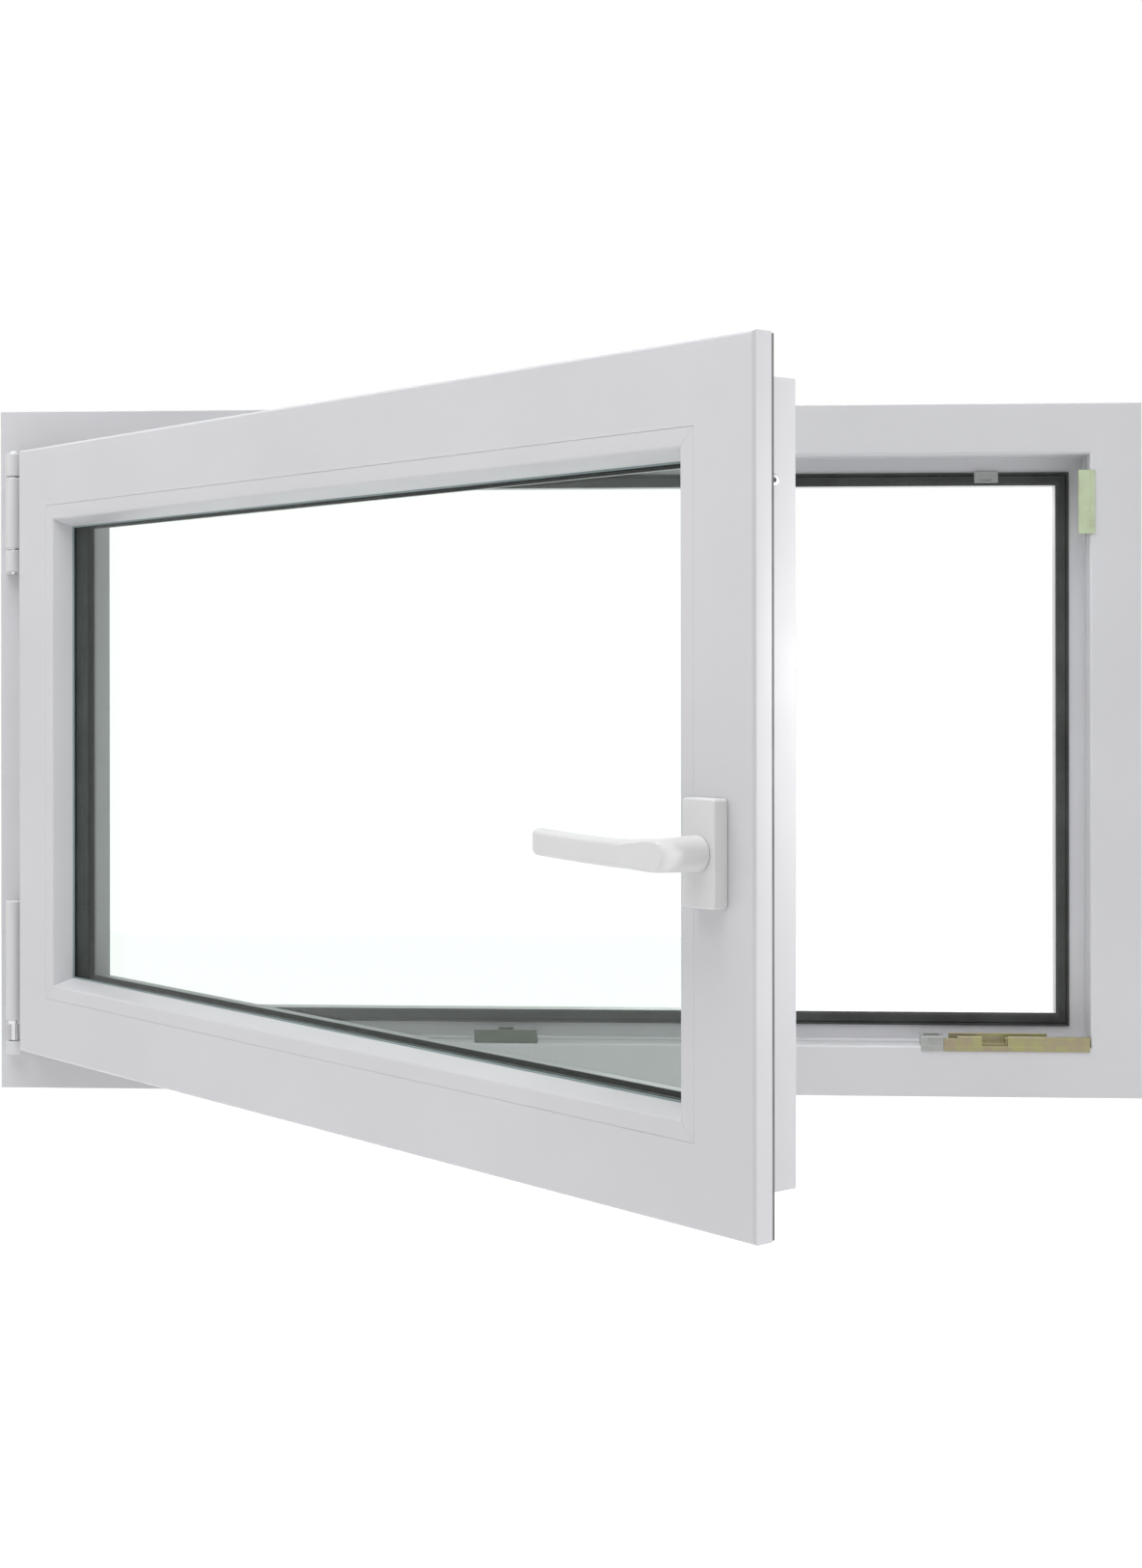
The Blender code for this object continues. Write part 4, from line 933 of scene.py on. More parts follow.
def screw_head(radius):
    """A countersunk screw head, seen along +X from above, with a cross in it."""
    bm = bmesh.new()
    bmesh.ops.create_cone(
        bm, cap_ends=True, segments=28, radius1=radius * 0.55, radius2=radius, depth=radius * 0.7
    )
    top = [e for e in bm.edges if min(v.co.z for v in e.verts) > 0]
    ease(bm, top, radius * 0.07, 2)
    bmesh.ops.translate(bm, vec=(0, 0, -radius * 0.35), verts=bm.verts)
    long, slim, floor = radius * 0.62, radius * 0.12, -radius * CROSS_DEPTH
    cross = [block((-x, -y, floor), (x, y, 0.002)) for x, y in ((long, slim), (slim, long))]
    bm = solve(bm, cross, "DIFFERENCE")
    bmesh.ops.transform(bm, matrix=TURN_TO["X"], verts=bm.verts)
    return bm


def finish_keeper(bm, side, node, screws, material):
    """Countersink and screw a keeper down at some distances along it, and place it."""
    seats = [Vector((BASE_TOP, SCREW_ROW, along)) * MM for along in screws]
    bm = solve(bm, [bar(seat, 0.0026, "X", 0.0012, sides=28) for seat in seats], "DIFFERENCE")
    for seat in seats:
        merge(bm, screw_head(0.0024), Matrix.Translation(seat - Vector((0.0001, 0, 0))))
    bmesh.ops.transform(bm, matrix=rebate_place(side, node)[0], verts=bm.verts)
    bmesh.ops.recalc_face_normals(bm, faces=bm.faces)
    finish(bm, f"{node}_casting", node, material)

# %% [markdown]
# ### Jamb keeper
#
# This keeper sits high on the lock jamb and holds the upper corner of the shut sash. Its wall
# laps over the frame's edge and ends in a thin flange on the frame's face. A low boss on the
# base joins wall and ledge in the middle.

# %% Jamb keeper
FACE_FLANGE = [(-4.4, -0.3, 0), (-4.4, -0.95, 0.25), (-0.7, -0.95, 0.2), (0.3, -1.2, 0.2)]
BASE = [(1.8, 3.1, 0.3), (1.8, 19.0, 0.3), (0.3, 19.0, 0)]
EDGE_FOOT = [(0.3, -0.3, 0)]
JAMB_WALL = FACE_FLANGE + [(9.7, -1.2, 0.45), (9.7, 3.1, 0.45)] + BASE + EDGE_FOOT
_, length = rebate_place("lock", "jamb_keeper")
keeper = run_out(JAMB_WALL, 0.0, length, 0.35)
low_wall = ledge(6.0, 16.5, 16.9, (0.4, 0.4), 1.0, length - 1.0, 0.3)
boss = mm_block((1.0, 3.4), (2.6, 17.0), (length / 2 - 5, length / 2 + 5), 0.4)
keeper = solve(keeper, [low_wall, boss], "UNION")
finish_keeper(keeper, "lock", "jamb_keeper", (9.0, length - 9.0), PALE_CHROMATE)

# %% [markdown]
# ### Tilt keeper
#
# The long keeper in the sill's lock corner is the one that holds the foot of the sash while it
# tilts. Its wall has an open pocket for the cam, a lower part at its start and two ramps that
# lead the cam. The pocket is milled with one block through the wall and another that goes down
# into the base.

# %% Tilt keeper
TILT_WALL = FACE_FLANGE + [(8.3, -1.2, 0.5), (8.3, 3.1, 0.4)] + BASE + EDGE_FOOT
POCKET = (32.7, 54.7)
_, length = rebate_place("bottom", "tilt_keeper")
keeper = run_out(TILT_WALL, 0.0, length, 0.5)
through_wall = mm_block((1.6, 12.0), (-3.0, 4.0), POCKET)
into_base = mm_block((0.35, 2.0), (-3.5, 1.9), POCKET)
pocket = solve(through_wall, [into_base], "UNION")
low_start = run_out([(6.4, -3.0, 0), (12.0, -3.0, 0), (12.0, 4.0, 0), (6.4, 4.0, 0)], -2.0, 11.5)
keeper = solve(keeper, [pocket, low_start], "DIFFERENCE")
low_wall = ledge(9.0, 16.4, 17.0, (0.5, 0.4), 5.5, 90.5, 0.4)
ramp_in = mm_block((1.0, 5.2), (9.0, 17.0), (POCKET[0] - 3.0, POCKET[0] - 0.6), 0.5)
ramp_out = mm_block((1.0, 6.4), (2.0, 9.0), (POCKET[1] - 1.6, POCKET[1] + 1.0), 0.4)
keeper = solve(keeper, [low_wall, ramp_in, ramp_out], "UNION")
finish_keeper(keeper, "bottom", "tilt_keeper", (18.0, 74.0, length - 12.0), GOLD_CHROMATE)

# %% [markdown]
# ### Head and sill keepers
#
# The keepers in the middle of the head and of the sill stay inside the rebate and have no
# flange on the face. The one in the head has a lower part where the cam enters, and the one on
# the sill has a short hump instead of a ledge.

# %% Head and sill keepers
REBATE_FOOT = [(0.3, 0.7, 0), (0.7, 1.0, 0)]
HEAD_WALL = REBATE_FOOT + [(10.0, 1.0, 0.4), (10.0, 3.1, 0.4)] + BASE
SILL_WALL = REBATE_FOOT + [(11.2, 1.0, 0.6), (11.2, 3.1, 0.5)] + BASE
_, length = rebate_place("top", "head_keeper")
entry = mm_block((4.7, 14.0), (-1.0, 5.0), (19.0, 60.0))
keeper = solve(run_out(HEAD_WALL, 0.0, length, 0.3), [entry], "DIFFERENCE")
low_wall = ledge(4.7, 16.5, 16.8, (0.4, 0.4), 1.0, length - 1.0, 0.3)
keeper = solve(keeper, [low_wall], "UNION")
# Both keepers here take the olive chromate, whose dark tones are painted shade.
finish_keeper(keeper, "top", "head_keeper", (6.0, length - 6.0), SHADED_OLIVE_CHROMATE)

_, length = rebate_place("bottom", "sill_keeper")
hump = ledge(11.2, 16.5, 16.9, (0.6, 0.6), 20.0, 33.0, 0.9)
keeper = solve(run_out(SILL_WALL, 0.0, length, 0.4), [hump], "UNION")
finish_keeper(keeper, "bottom", "sill_keeper", (9.0, length - 9.0), SHADED_OLIVE_CHROMATE)

# %% [markdown]
# ### Plastic end of the tilt keeper
#
# A clouded moulding ends the keeper on its hinge side. It is a rounded block over the same
# edge, with a shallow dish in its front and a deep well behind.

# %% Plastic end of the tilt keeper
END_SECTION = FACE_FLANGE[:3] + [(0.3, -1.2, 0.3), (8.6, -1.2, 0.9), (8.6, 19.0, 0.9)]
END_SECTION += [(0.3, 19.0, 0)] + EDGE_FOOT
place, length = rebate_place("bottom", "tilt_keeper_end")
end = run_out(END_SECTION, 0.0, length, 0.7)
dish = mm_block((1.6, 7.0), (-2.0, -0.5), (6.5, length - 2.0), 0.3)
well = mm_block((4.0, 12.0), (2.0, 16.5), (3.0, length - 3.0), 0.6)
end = solve(end, [dish, well], "DIFFERENCE")
bmesh.ops.transform(end, matrix=place, verts=end.verts)
bmesh.ops.recalc_face_normals(end, faces=end.faces)
finish(end, "tilt_keeper_end_moulding", "tilt_keeper_end", CLOUDED_PLASTIC)

# %% [markdown]
# ## Hinges
#
# The sash stands on a ball-ended pin at the lower corner and hangs from a pin through two
# knuckles at the upper one. Both bearings on the frame are an enamelled plate with drums about
# the hinge axis. A block joins each drum to the plate, and the bores are cut last.

# %% Hinge bearings
AXIS = Vector((HINGE_POINT.x, HINGE_POINT.y, 0.0))
DRUM_RADIUS = 0.0074


def hinge_plate(node, spans):
    """The screwed plate of a bearing, with drums about the hinge axis at some heights."""
    low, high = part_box(node)
    if node.startswith("upper"):
        plate_end, arm_end = low.x + 0.0075, AXIS.x + 0.0001
    else:
        plate_end, arm_end = high.x, AXIS.x + DRUM_RADIUS - 0.0006
    arm_start, arm_back = max(low.x + 0.0012, AXIS.x - DRUM_RADIUS + 0.0006), high.y - 0.0022
    plate = block((low.x, high.y - 0.003, low.z), (plate_end, high.y, high.z), 0.0009, 3)
    parts = []
    for start, end in spans:
        centre = AXIS + Vector((0, 0, (start + end) / 2))
        parts.append(bar(centre, DRUM_RADIUS, "Z", end - start, 0.0009, sides=64))
        arm_low, arm_high = start + 0.0004, end - 0.0004
        parts.append(block((arm_start, AXIS.y, arm_low), (arm_end, arm_back, arm_high), 0.0004))
    return solve(plate, parts, "UNION")


low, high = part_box("lower_hinge_bearing")
bearing = hinge_plate("lower_hinge_bearing", [(low.z, low.z + 0.012)])
socket = bar(AXIS + Vector((0, 0, low.z + 0.010)), 0.0058, "Z", 0.014)
bearing = solve(bearing, [socket], "DIFFERENCE")
finish(bearing, "lower_bearing_plate", "lower_hinge_bearing", ENAMEL)

low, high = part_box("upper_hinge_bearing")
knuckles = [(low.z + 0.002, low.z + 0.021), (high.z - 0.021, high.z - 0.001)]
bearing = hinge_plate("upper_hinge_bearing", knuckles)
bore = bar(AXIS + Vector((0, 0, (low.z + high.z) / 2)), 0.0028, "Z", 0.14, sides=32)
bearing = solve(bearing, [bore], "DIFFERENCE")
finish(bearing, "upper_bearing_knuckles", "upper_hinge_bearing", ENAMEL)

# %% [markdown]
# ### Hinge pins
#
# Pins are turned on a lathe, and Blender's spin operator does the same: half an outline goes
# once round the axis. The lower pin ends in a ball, whose outline is a short row of points on a
# circle. The upper pin has a flat head.

# %% Hinge pins
def turn_up(outline, centre, steps=48):
    """Spin an outline of (radius, height) points, in millimetres, into a closed turned part."""
    bm = bmesh.new()
    points = [bm.verts.new((r * MM, 0, z * MM)) for r, z in outline]
    edges = [bm.edges.new(pair) for pair in zip(points, points[1:])]
    bmesh.ops.spin(
        bm,
        geom=points + edges,
        axis=(0, 0, 1),
        angle=2 * math.pi,
        steps=steps,
        use_merge=True,
    )
    bmesh.ops.remove_doubles(bm, verts=bm.verts, dist=WELD)
    bmesh.ops.recalc_face_normals(bm, faces=bm.faces)
    bmesh.ops.translate(bm, vec=centre, verts=bm.verts)
    return bm


def ball_arc(radius, start, end, steps):
    """Points on a ball's outline, from one angle in degrees above its equator to another."""
    turn = (start + (end - start) * i / steps for i in range(steps + 1))
    return [(radius * math.cos(a), radius * math.sin(a)) for a in map(math.radians, turn)]


tilt_point = Vector(JOINT["sash_tilt"]["pos_m"])
SHAFT = [(0, 63), (2.5, 63), (2.8, 62.7), (2.8, 22.0), (3.1, 21.6), (3.1, 20.4), (2.8, 20.0)]
BALL_RADIUS, BALL_START = 3.7, 40.8
ball = [(max(r, 0.0), z) for r, z in ball_arc(BALL_RADIUS, BALL_START, -90.0, 12)]
finish(turn_up(SHAFT + ball, tilt_point), "corner_pin", "corner_hinge_pin", CHROME)

low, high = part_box("upper_hinge_pin")
TOP = (high.z - low.z) / MM
PIN_HEAD = [(0, TOP), (2.2, TOP), (3.3, TOP - 0.35), (3.8, TOP - 1.0), (3.8, TOP - 2.2)]
PIN_SHAFT = [(2.5, TOP - 2.2), (2.5, 0.8), (1.8, 0), (0, 0)]
pin = turn_up(PIN_HEAD + PIN_SHAFT, AXIS + Vector((0, 0, low.z)))
finish(pin, "stay_bearing_pin", "upper_hinge_pin", ZINC_UPRIGHT)

# %% [markdown]
# ### Hinge covers
#
# White covers clip over both hinge sleeves. They are half-round shells, open at the back, made
# from a bar, a bore and a block that takes the back away. The lower one keeps a closed top, and
# the upper one is open at both ends.

# %% Hinge covers
def sleeve_cover(node, bore_past_top):
    """A moulded half-round shell; its bore ends above its top, or below it and leaves a cap."""
    low, high = shut_box(node)
    middle = AXIS + Vector((0, 0, (low.z + high.z) / 2))
    shell = bar(middle, 0.0076, "Z", high.z - low.z, 0.0010, sides=72)
    bore_low, bore_top = low.z - 0.002, high.z + bore_past_top
    bore_middle = AXIS + Vector((0, 0, (bore_low + bore_top) / 2))
    hollow = bar(bore_middle, 0.0061, "Z", bore_top - bore_low, sides=64)
    behind_low = (AXIS.x - 0.012, AXIS.y + 0.0038, low.z - 0.002)
    behind_high = (AXIS.x + 0.012, AXIS.y + 0.012, high.z + 0.002)
    return solve(shell, [hollow, block(behind_low, behind_high)], "DIFFERENCE")


for node, bore_past_top, name in (
    ("hinge_strap_cover", -0.0017, "lower_sleeve_cover"),
    ("stay_cover", 0.005, "stay_sleeve_cover"),
):
    finish(sleeve_cover(node, bore_past_top), name, node, COVER_PLASTIC, swung=True)

# %% [markdown]
# ### Forged and stamped steel
#
# The strap, the stay arm and the gearbox case already have the right shape in the CAD. They
# only lack the small radius that every stamped edge has. A copy of the mesh is merged, its flat
# triangles are dissolved into whole faces, and the sharp edges are bevelled.

# %% Ease the edges of stamped parts
def eased_copy(node, name, width, material):
    """A CAD node's mesh with its sharp edges broken."""
    bm = bmesh.new()
    bm.from_mesh(frame["nodes"][node].data)
    bmesh.ops.remove_doubles(bm, verts=bm.verts, dist=WELD)
    flat = math.radians(1.0)
    bmesh.ops.dissolve_limit(bm, angle_limit=flat, verts=bm.verts, edges=bm.edges)
    closed = [e for e in bm.edges if len(e.link_faces) == 2]
    ease(bm, [e for e in closed if e.calc_face_angle() > math.radians(50)], width, 1)
    bmesh.ops.triangulate(bm, faces=[f for f in bm.faces if len(f.verts) > 4])
    finish(bm, name, node, material)


eased_copy("sash_hinge_strap", "corner_strap", 0.00022, ZINC_UPRIGHT)
eased_copy("stay_arm", "stay_arm_forging", 0.00022, ZINC_LEVEL)
eased_copy("gearbox_case", "gearbox_housing", 0.00025, ZINC_UPRIGHT)

# %% [markdown]
# ## Locking gear in the sash's edge
#
# Flat drive rods run in the groove under screwed faceplates, and mushroom-headed cams reach
# through slots in the plates. The plates are strips with slightly rounded edges; a slot is cut
# with a block and two bars, so that its ends are round.

# %% Faceplate helpers
plate_low, plate_high = shut_box("lock_faceplate")
GROOVE_MIDDLE = (plate_low.y + plate_high.y) / 2
EDGE = {
    "lock": (Vector((1, 0, 0)), Vector((0, 0, 1)), SASH_BOX[1]),
    "top": (Vector((0, 0, 1)), Vector((1, 0, 0)), SASH_BOX[1]),
    "bottom": (Vector((0, 0, -1)), Vector((1, 0, 0)), SASH_BOX[0]),
}
PLATE_TOP, PLATE_FLOOR, PLATE_HALF = -20.5, -22.7, 7.7
SLOT_HALF, SLOT_REACH = 3.6, 18.4


def edge_place(side):
    """Local X points out of the sash's edge from its outer face, Y back, Z along the edge."""
    out, along, corner = EDGE[side]
    start = Vector((abs(c) * corner[i] for i, c in enumerate(out)))
    start.y += GROOVE_MIDDLE
    return Matrix.Translation(start) @ turn_onto(out, BACKWARDS, along)


def edge_strip(side, start, end, slots=()):
    """A faceplate along one edge, in metres along X or Z, with slots at some places."""
    across = (-PLATE_HALF, PLATE_HALF)
    bm = mm_block((PLATE_FLOOR, PLATE_TOP), across, (start / MM, end / MM))
    ease(bm, [e for e in bm.edges if climb(e) > MM], 0.0004, 3)
    tools = []
    for middle in slots:
        slot_ends = (middle / MM - SLOT_REACH, middle / MM + SLOT_REACH)
        tools.append(mm_block((-26, -16), (-SLOT_HALF, SLOT_HALF), slot_ends))
        for slot_end in slot_ends:
            centre = Vector((-21.0, 0.0, slot_end)) * MM
            tools.append(bar(centre, SLOT_HALF * MM, "X", 0.010, sides=32))
    if tools:
        bm = solve(bm, tools, "DIFFERENCE")
    bmesh.ops.transform(bm, matrix=edge_place(side), verts=bm.verts)
    return bm


def add_screws(bm, side, places):
    """Countersunk screws in a faceplate."""
    surface, place = PLATE_TOP * MM, edge_place(side)
    sinks = [bar((surface, 0.0, along), 0.0036, "X", 0.0016, sides=28) for along in places]
    for sink in sinks:
        bmesh.ops.transform(sink, matrix=place, verts=sink.verts)
    bm = solve(bm, sinks, "DIFFERENCE")
    for along in places:
        seat = Matrix.Translation((surface - 0.00015, 0.0, along))
        merge(bm, screw_head(0.0034), place @ seat)
    return bm

# %% [markdown]
# ### Corner faceplates
#
# At the two corners of the lock side the plate goes round the corner, so it is joined from two
# strips. The slots sit where the cams are, and those are riveted on near the ends of the rods.

# %% Corner faceplates
lock_rod, top_rod, bottom_rod = (shut_box(f"drive_rod_{s}") for s in ("lock", "top", "bottom"))
CAM = {
    "lock": lock_rod[1].z - 0.009,
    "head": top_rod[0].x + 0.009,
    "sill": bottom_rod[0].x + 0.009,
    "tilt": bottom_rod[1].x - 0.010,
}
corner = SASH_BOX[1].x + PLATE_TOP * MM

low, high = shut_box("corner_drive_top")
upright = edge_strip("lock", plate_high.z + 0.0003, high.z - 0.0001, [CAM["lock"]])
plate = solve(edge_strip("top", low.x, corner, [CAM["head"]]), [upright], "UNION")
plate = add_screws(plate, "top", (low.x + 0.010, 0.30, 0.43))
plate = add_screws(plate, "lock", (plate_high.z + 0.012, high.z - 0.014))
finish(plate, "corner_faceplate_top", "corner_drive_top", ZINC_LEVEL, swung=True)

low, high = shut_box("corner_drive_bottom")
upright = edge_strip("lock", low.z + 0.0001, plate_low.z - 0.0003)
level = edge_strip("bottom", low.x, corner, [CAM["sill"], CAM["tilt"]])
plate = solve(level, [upright], "UNION")
plate = add_screws(plate, "bottom", (low.x + 0.008, 0.10, 0.25))
plate = add_screws(plate, "lock", (low.z + 0.014, plate_low.z - 0.012))
finish(plate, "corner_faceplate_bottom", "corner_drive_bottom", ZINC_LEVEL, swung=True)

# %% [markdown]
# ### Gearbox faceplate and stay guide
#
# The plate over the gearbox is a plain strip with four screws. The stay guide in the top rail
# has a track in which the stay's stud slides, and a block cuts it right through the plate.

# %% Gearbox faceplate and stay guide
screws = [plate_low.z + 0.010, plate_low.z + 0.040, plate_high.z - 0.040, plate_high.z - 0.010]
plate = add_screws(edge_strip("lock", plate_low.z, plate_high.z), "lock", screws)
finish(plate, "gearbox_faceplate", "lock_faceplate", ZINC_UPRIGHT, swung=True)

low, high = shut_box("stay_guide")
stud = shut_box("stay_arm")[1].x - 0.006
track = block(
    (stud - 0.016, GROOVE_MIDDLE - 0.0044, low.z - 0.004),
    (stud + 0.006, GROOVE_MIDDLE + 0.0064, high.z + 0.004),
)
plate = solve(edge_strip("top", low.x, high.x), [track], "DIFFERENCE")
plate = add_screws(plate, "top", (low.x + 0.012, -0.19, high.x - 0.012))
finish(plate, "stay_guide_plate", "stay_guide", ZINC_LEVEL, swung=True)

# %% [markdown]
# ### Drive rods and cams
#
# A rod is a flat bar with its cams riveted on. The gearbox's pinion drives the upright one
# through a row of windows, one for each tooth. A cam is turned like the pins and has a hexagon
# socket in its head, which sets how hard the sash is pulled in.

# %% Drive rods and cams
CAM_OUTLINE = [
    (0, -24.5),
    (3.0, -24.5),
    (3.0, -19.6),
    (3.7, -19.2),
    (4.0, -18.8),
    (4.0, -12.2),
    (3.6, -11.7),
    (3.2, -11.5),
    (0, -11.5),
]
WINDOW_PITCH = 0.006


def cam(side, along):
    """A mushroom cam, with a hexagon socket in its head."""
    socket = bar((0, 0, -0.0118), 0.0017, "Z", 0.003, sides=6)
    body = solve(turn_up(CAM_OUTLINE, (0, 0, 0), 32), [socket], "DIFFERENCE")
    lie = Matrix.Translation((0, 0, along)) @ TURN_TO["X"]
    bmesh.ops.transform(body, matrix=edge_place(side) @ lie, verts=body.verts)
    return body


def drive_rod(side, start, end, cams, windows=()):
    """A flat rod along one edge, with cams and windows at some places."""
    bm = mm_block((-26.0, -23.1), (-4.0, 4.0), (start / MM, end / MM), 0.3)
    holes = [mm_block((-30, -20), (-2.8, 2.8), (w / MM - 2.1, w / MM + 2.1)) for w in windows]
    if holes:
        bm = solve(bm, holes, "DIFFERENCE")
    bmesh.ops.transform(bm, matrix=edge_place(side), verts=bm.verts)
    return solve(bm, [cam(side, place) for place in cams], "UNION")


windows = [SPINDLE.z + step * WINDOW_PITCH for step in range(-5, 6)]
low, high = lock_rod
rod = drive_rod("lock", low.z, high.z, [CAM["lock"]], windows)
finish(rod, "rack_and_lock_cam", "drive_rod_lock", ROD_UPRIGHT, swung=True)
low, high = top_rod
rod = drive_rod("top", low.x, high.x, [CAM["head"]])
finish(rod, "top_rod_and_cam", "drive_rod_top", ROD_LEVEL, swung=True)
low, high = bottom_rod
rod = drive_rod("bottom", low.x, high.x, [CAM["sill"], CAM["tilt"]])
finish(rod, "bottom_rod_and_cams", "drive_rod_bottom", ROD_LEVEL, swung=True)

# %% [markdown]
# ## Handle
#
# The handle is die-cast and powder-coated. Its cover is a shallow box with softened edges that
# hides the screws. It is hollow, with a hole for the neck of the lever, as the real one is.

# %% Handle cover
low, high = shut_box("rosette_cover")
cover = block(low, high)
corners = [e for e in cover.edges if abs(e.verts[0].co.y - e.verts[1].co.y) > MM]
ease(cover, corners, 0.0024, 5)
front_rim = [e for e in cover.edges if max(v.co.y for v in e.verts) < low.y + WELD]
ease(cover, front_rim, 0.0014, 4)
hollow = block(low + Vector((0.0018, 0.0025, 0.0018)), high + Vector((-0.0018, 0.002, -0.0018)))
hole = bar((SPINDLE.x, low.y, SPINDLE.z), 0.0062, "Y", 0.012, sides=40)
cover = solve(cover, [hollow, hole], "DIFFERENCE")
finish(cover, "handle_cover", "rosette_cover", HANDLE_COAT, swung=True)

# %% [markdown]
# ### The rings of the lever
#
# The lever is lofted: rounded square rings follow the neck out of the cover, round the elbow
# and along the grip, and the gaps between rings are bridged. The elbow's inside stays on a
# circle, while its outside goes round a blunt corner that a superellipse gives.

# %% The rings of the lever
PIVOT_ALONG, PIVOT_OUT, INSIDE = 22.6, 27.2, 12.2
NECK, GRIP_FRONT = 10.4, 51.2
NECK_HEIGHT, GRIP_HEIGHT = 10.3, 8.6
NECK_CORNER, GRIP_CORNER = 10.1, 5.2
BLUNT = 7.0
BEND_STEPS = 18
ACROSS = math.pi / 2


def lever_ring(bm, along, out, rise, turn, half_width, half_height, corner):
    """A rounded ring across the lever, in millimetres: along the grip, out from the sash."""
    ring = bmesh.ops.create_circle(bm, segments=4, radius=math.sqrt(2))["verts"]
    bmesh.ops.rotate(bm, matrix=Matrix.Rotation(math.radians(45), 3, "Z"), verts=ring)
    bmesh.ops.scale(bm, vec=(half_width * MM, half_height * MM, 1.0), verts=ring)
    rounded = bmesh.ops.bevel(
        bm,
        geom=ring,
        offset=corner * MM,
        offset_type="OFFSET",
        segments=8,
        profile=0.5,
        affect="VERTICES",
        material=-1,
    )
    ring = rounded["verts"]
    across, upright = Vector((math.cos(turn), -math.sin(turn), 0.0)), Vector((0.0, 0.0, 1.0))
    place = turn_onto(across, upright, across.cross(upright))
    place.translation = (SPINDLE.x - along * MM, SASH_FACE_Y - out * MM, SPINDLE.z + rise * MM)
    bmesh.ops.transform(bm, matrix=place, verts=ring)
    return list({edge for vert in ring for edge in vert.link_edges if edge.is_wire})


def bend_ring(share):
    """A ring in the elbow. Its inside stays on a circle, its outside goes round the corner."""
    turn = share * ACROSS
    side, front = PIVOT_ALONG + NECK, GRIP_FRONT - PIVOT_OUT
    sideways, forwards = math.cos(turn) / side, math.sin(turn) / front
    outside = (sideways**BLUNT + forwards**BLUNT) ** (-1 / BLUNT)
    middle, half_width = (outside + INSIDE) / 2, (outside - INSIDE) / 2
    height = NECK_HEIGHT + (GRIP_HEIGHT - NECK_HEIGHT) * share
    corner = NECK_CORNER + (GRIP_CORNER - NECK_CORNER) * share
    along, out = PIVOT_ALONG - middle * math.cos(turn), PIVOT_OUT + middle * math.sin(turn)
    return along, out, 0.12 * share, turn, half_width, height, corner


RINGS = [
    (0, 11.2, 0, 0, 10.1, 10.1, 9.7),
    (0, 11.7, 0, 0, 10.6, 10.6, 10.3),
    (0, 20.0, 0, 0, 10.5, 10.45, 10.1),
]
RINGS += [bend_ring(step / BEND_STEPS) for step in range(BEND_STEPS + 1)]
for along, rise, height, half_width in (
    (32, 0.18, 8.35, 5.85),
    (45, 0.5, 8.2, 5.8),
    (60, 1.0, 8.1, 5.7),
    (75, 1.65, 8.1, 5.6),
    (90, 2.4, 8.1, 5.6),
    (102.6, 3.15, 8.15, 5.6),
):
    RINGS.append((along, GRIP_FRONT - half_width, rise, ACROSS, half_width, height, 3.6))
RINGS.append((104.3, GRIP_FRONT - 5.5, 3.2, ACROSS, 4.7, 7.3, 2.9))
RINGS.append((105.0, GRIP_FRONT - 5.5, 3.25, ACROSS, 3.4, 6.0, 2.0))
print(len(RINGS), "rings from the neck to the end of the grip")

# %% [markdown]
# ### Loft the lever
#
# Bridging two rings fills the gap between them. The first and the last ring are filled too, and
# the shape is closed. Then one slanting cut gives the elbow the flat oval facet that such levers
# have.

# %% Loft the lever
FLAT_START, FLAT_SLOPE = 25.0, math.radians(6.6)
lever = bmesh.new()
loops = [lever_ring(lever, *ring) for ring in RINGS]
for near, far in zip(loops, loops[1:]):
    bmesh.ops.bridge_loops(lever, edges=near + far)
for end in (loops[0], loops[-1]):
    bmesh.ops.edgeloop_fill(lever, edges=end)
bmesh.ops.recalc_face_normals(lever, faces=lever.faces)
facet = bmesh.ops.bisect_plane(
    lever,
    geom=lever.verts[:] + lever.edges[:] + lever.faces[:],
    dist=FLUSH,
    plane_co=(SPINDLE.x - FLAT_START * MM, SASH_FACE_Y - GRIP_FRONT * MM, SPINDLE.z),
    plane_no=(math.sin(FLAT_SLOPE), -math.cos(FLAT_SLOPE), 0.0),
    clear_outer=True,
)
rim = [part for part in facet["geom_cut"] if isinstance(part, bmesh.types.BMEdge)]
bmesh.ops.edgeloop_fill(lever, edges=rim)
finish(lever, "handle_grip", "handle_lever", HANDLE_COAT, swung=True, angle=50.0)

# %% [markdown]
# ### Spindle
#
# The square spindle is pressed into the lever and turns the pinion in the gearbox. Where it
# leaves the lever it has a round collar, which turns in the rosette. Both are steel, so they
# are a piece of their own on the lever's body.

# %% Spindle
SPINDLE_HALF = 0.0035
front, back = SASH_FACE_Y - 0.021, shut_box("handle_lever")[1].y
spindle = block(
    (SPINDLE.x - SPINDLE_HALF, front, SPINDLE.z - SPINDLE_HALF),
    (SPINDLE.x + SPINDLE_HALF, back, SPINDLE.z + SPINDLE_HALF),
    0.0004,
)
collar = bar((SPINDLE.x, SASH_FACE_Y - 0.0085, SPINDLE.z), 0.0057, "Y", 0.009, 0.0005)
merge(spindle, collar)
finish(spindle, "handle_spindle", "handle_lever", ZINC_UPRIGHT, swung=True)

# %% [markdown]
# ## Camera
#
# The camera stands in the room, a little right of the middle and about as high as the handle.
# It looks level, so that upright edges stay upright in the picture, and its lens is shifted
# down a little instead of being tilted, as people do who take pictures of buildings.

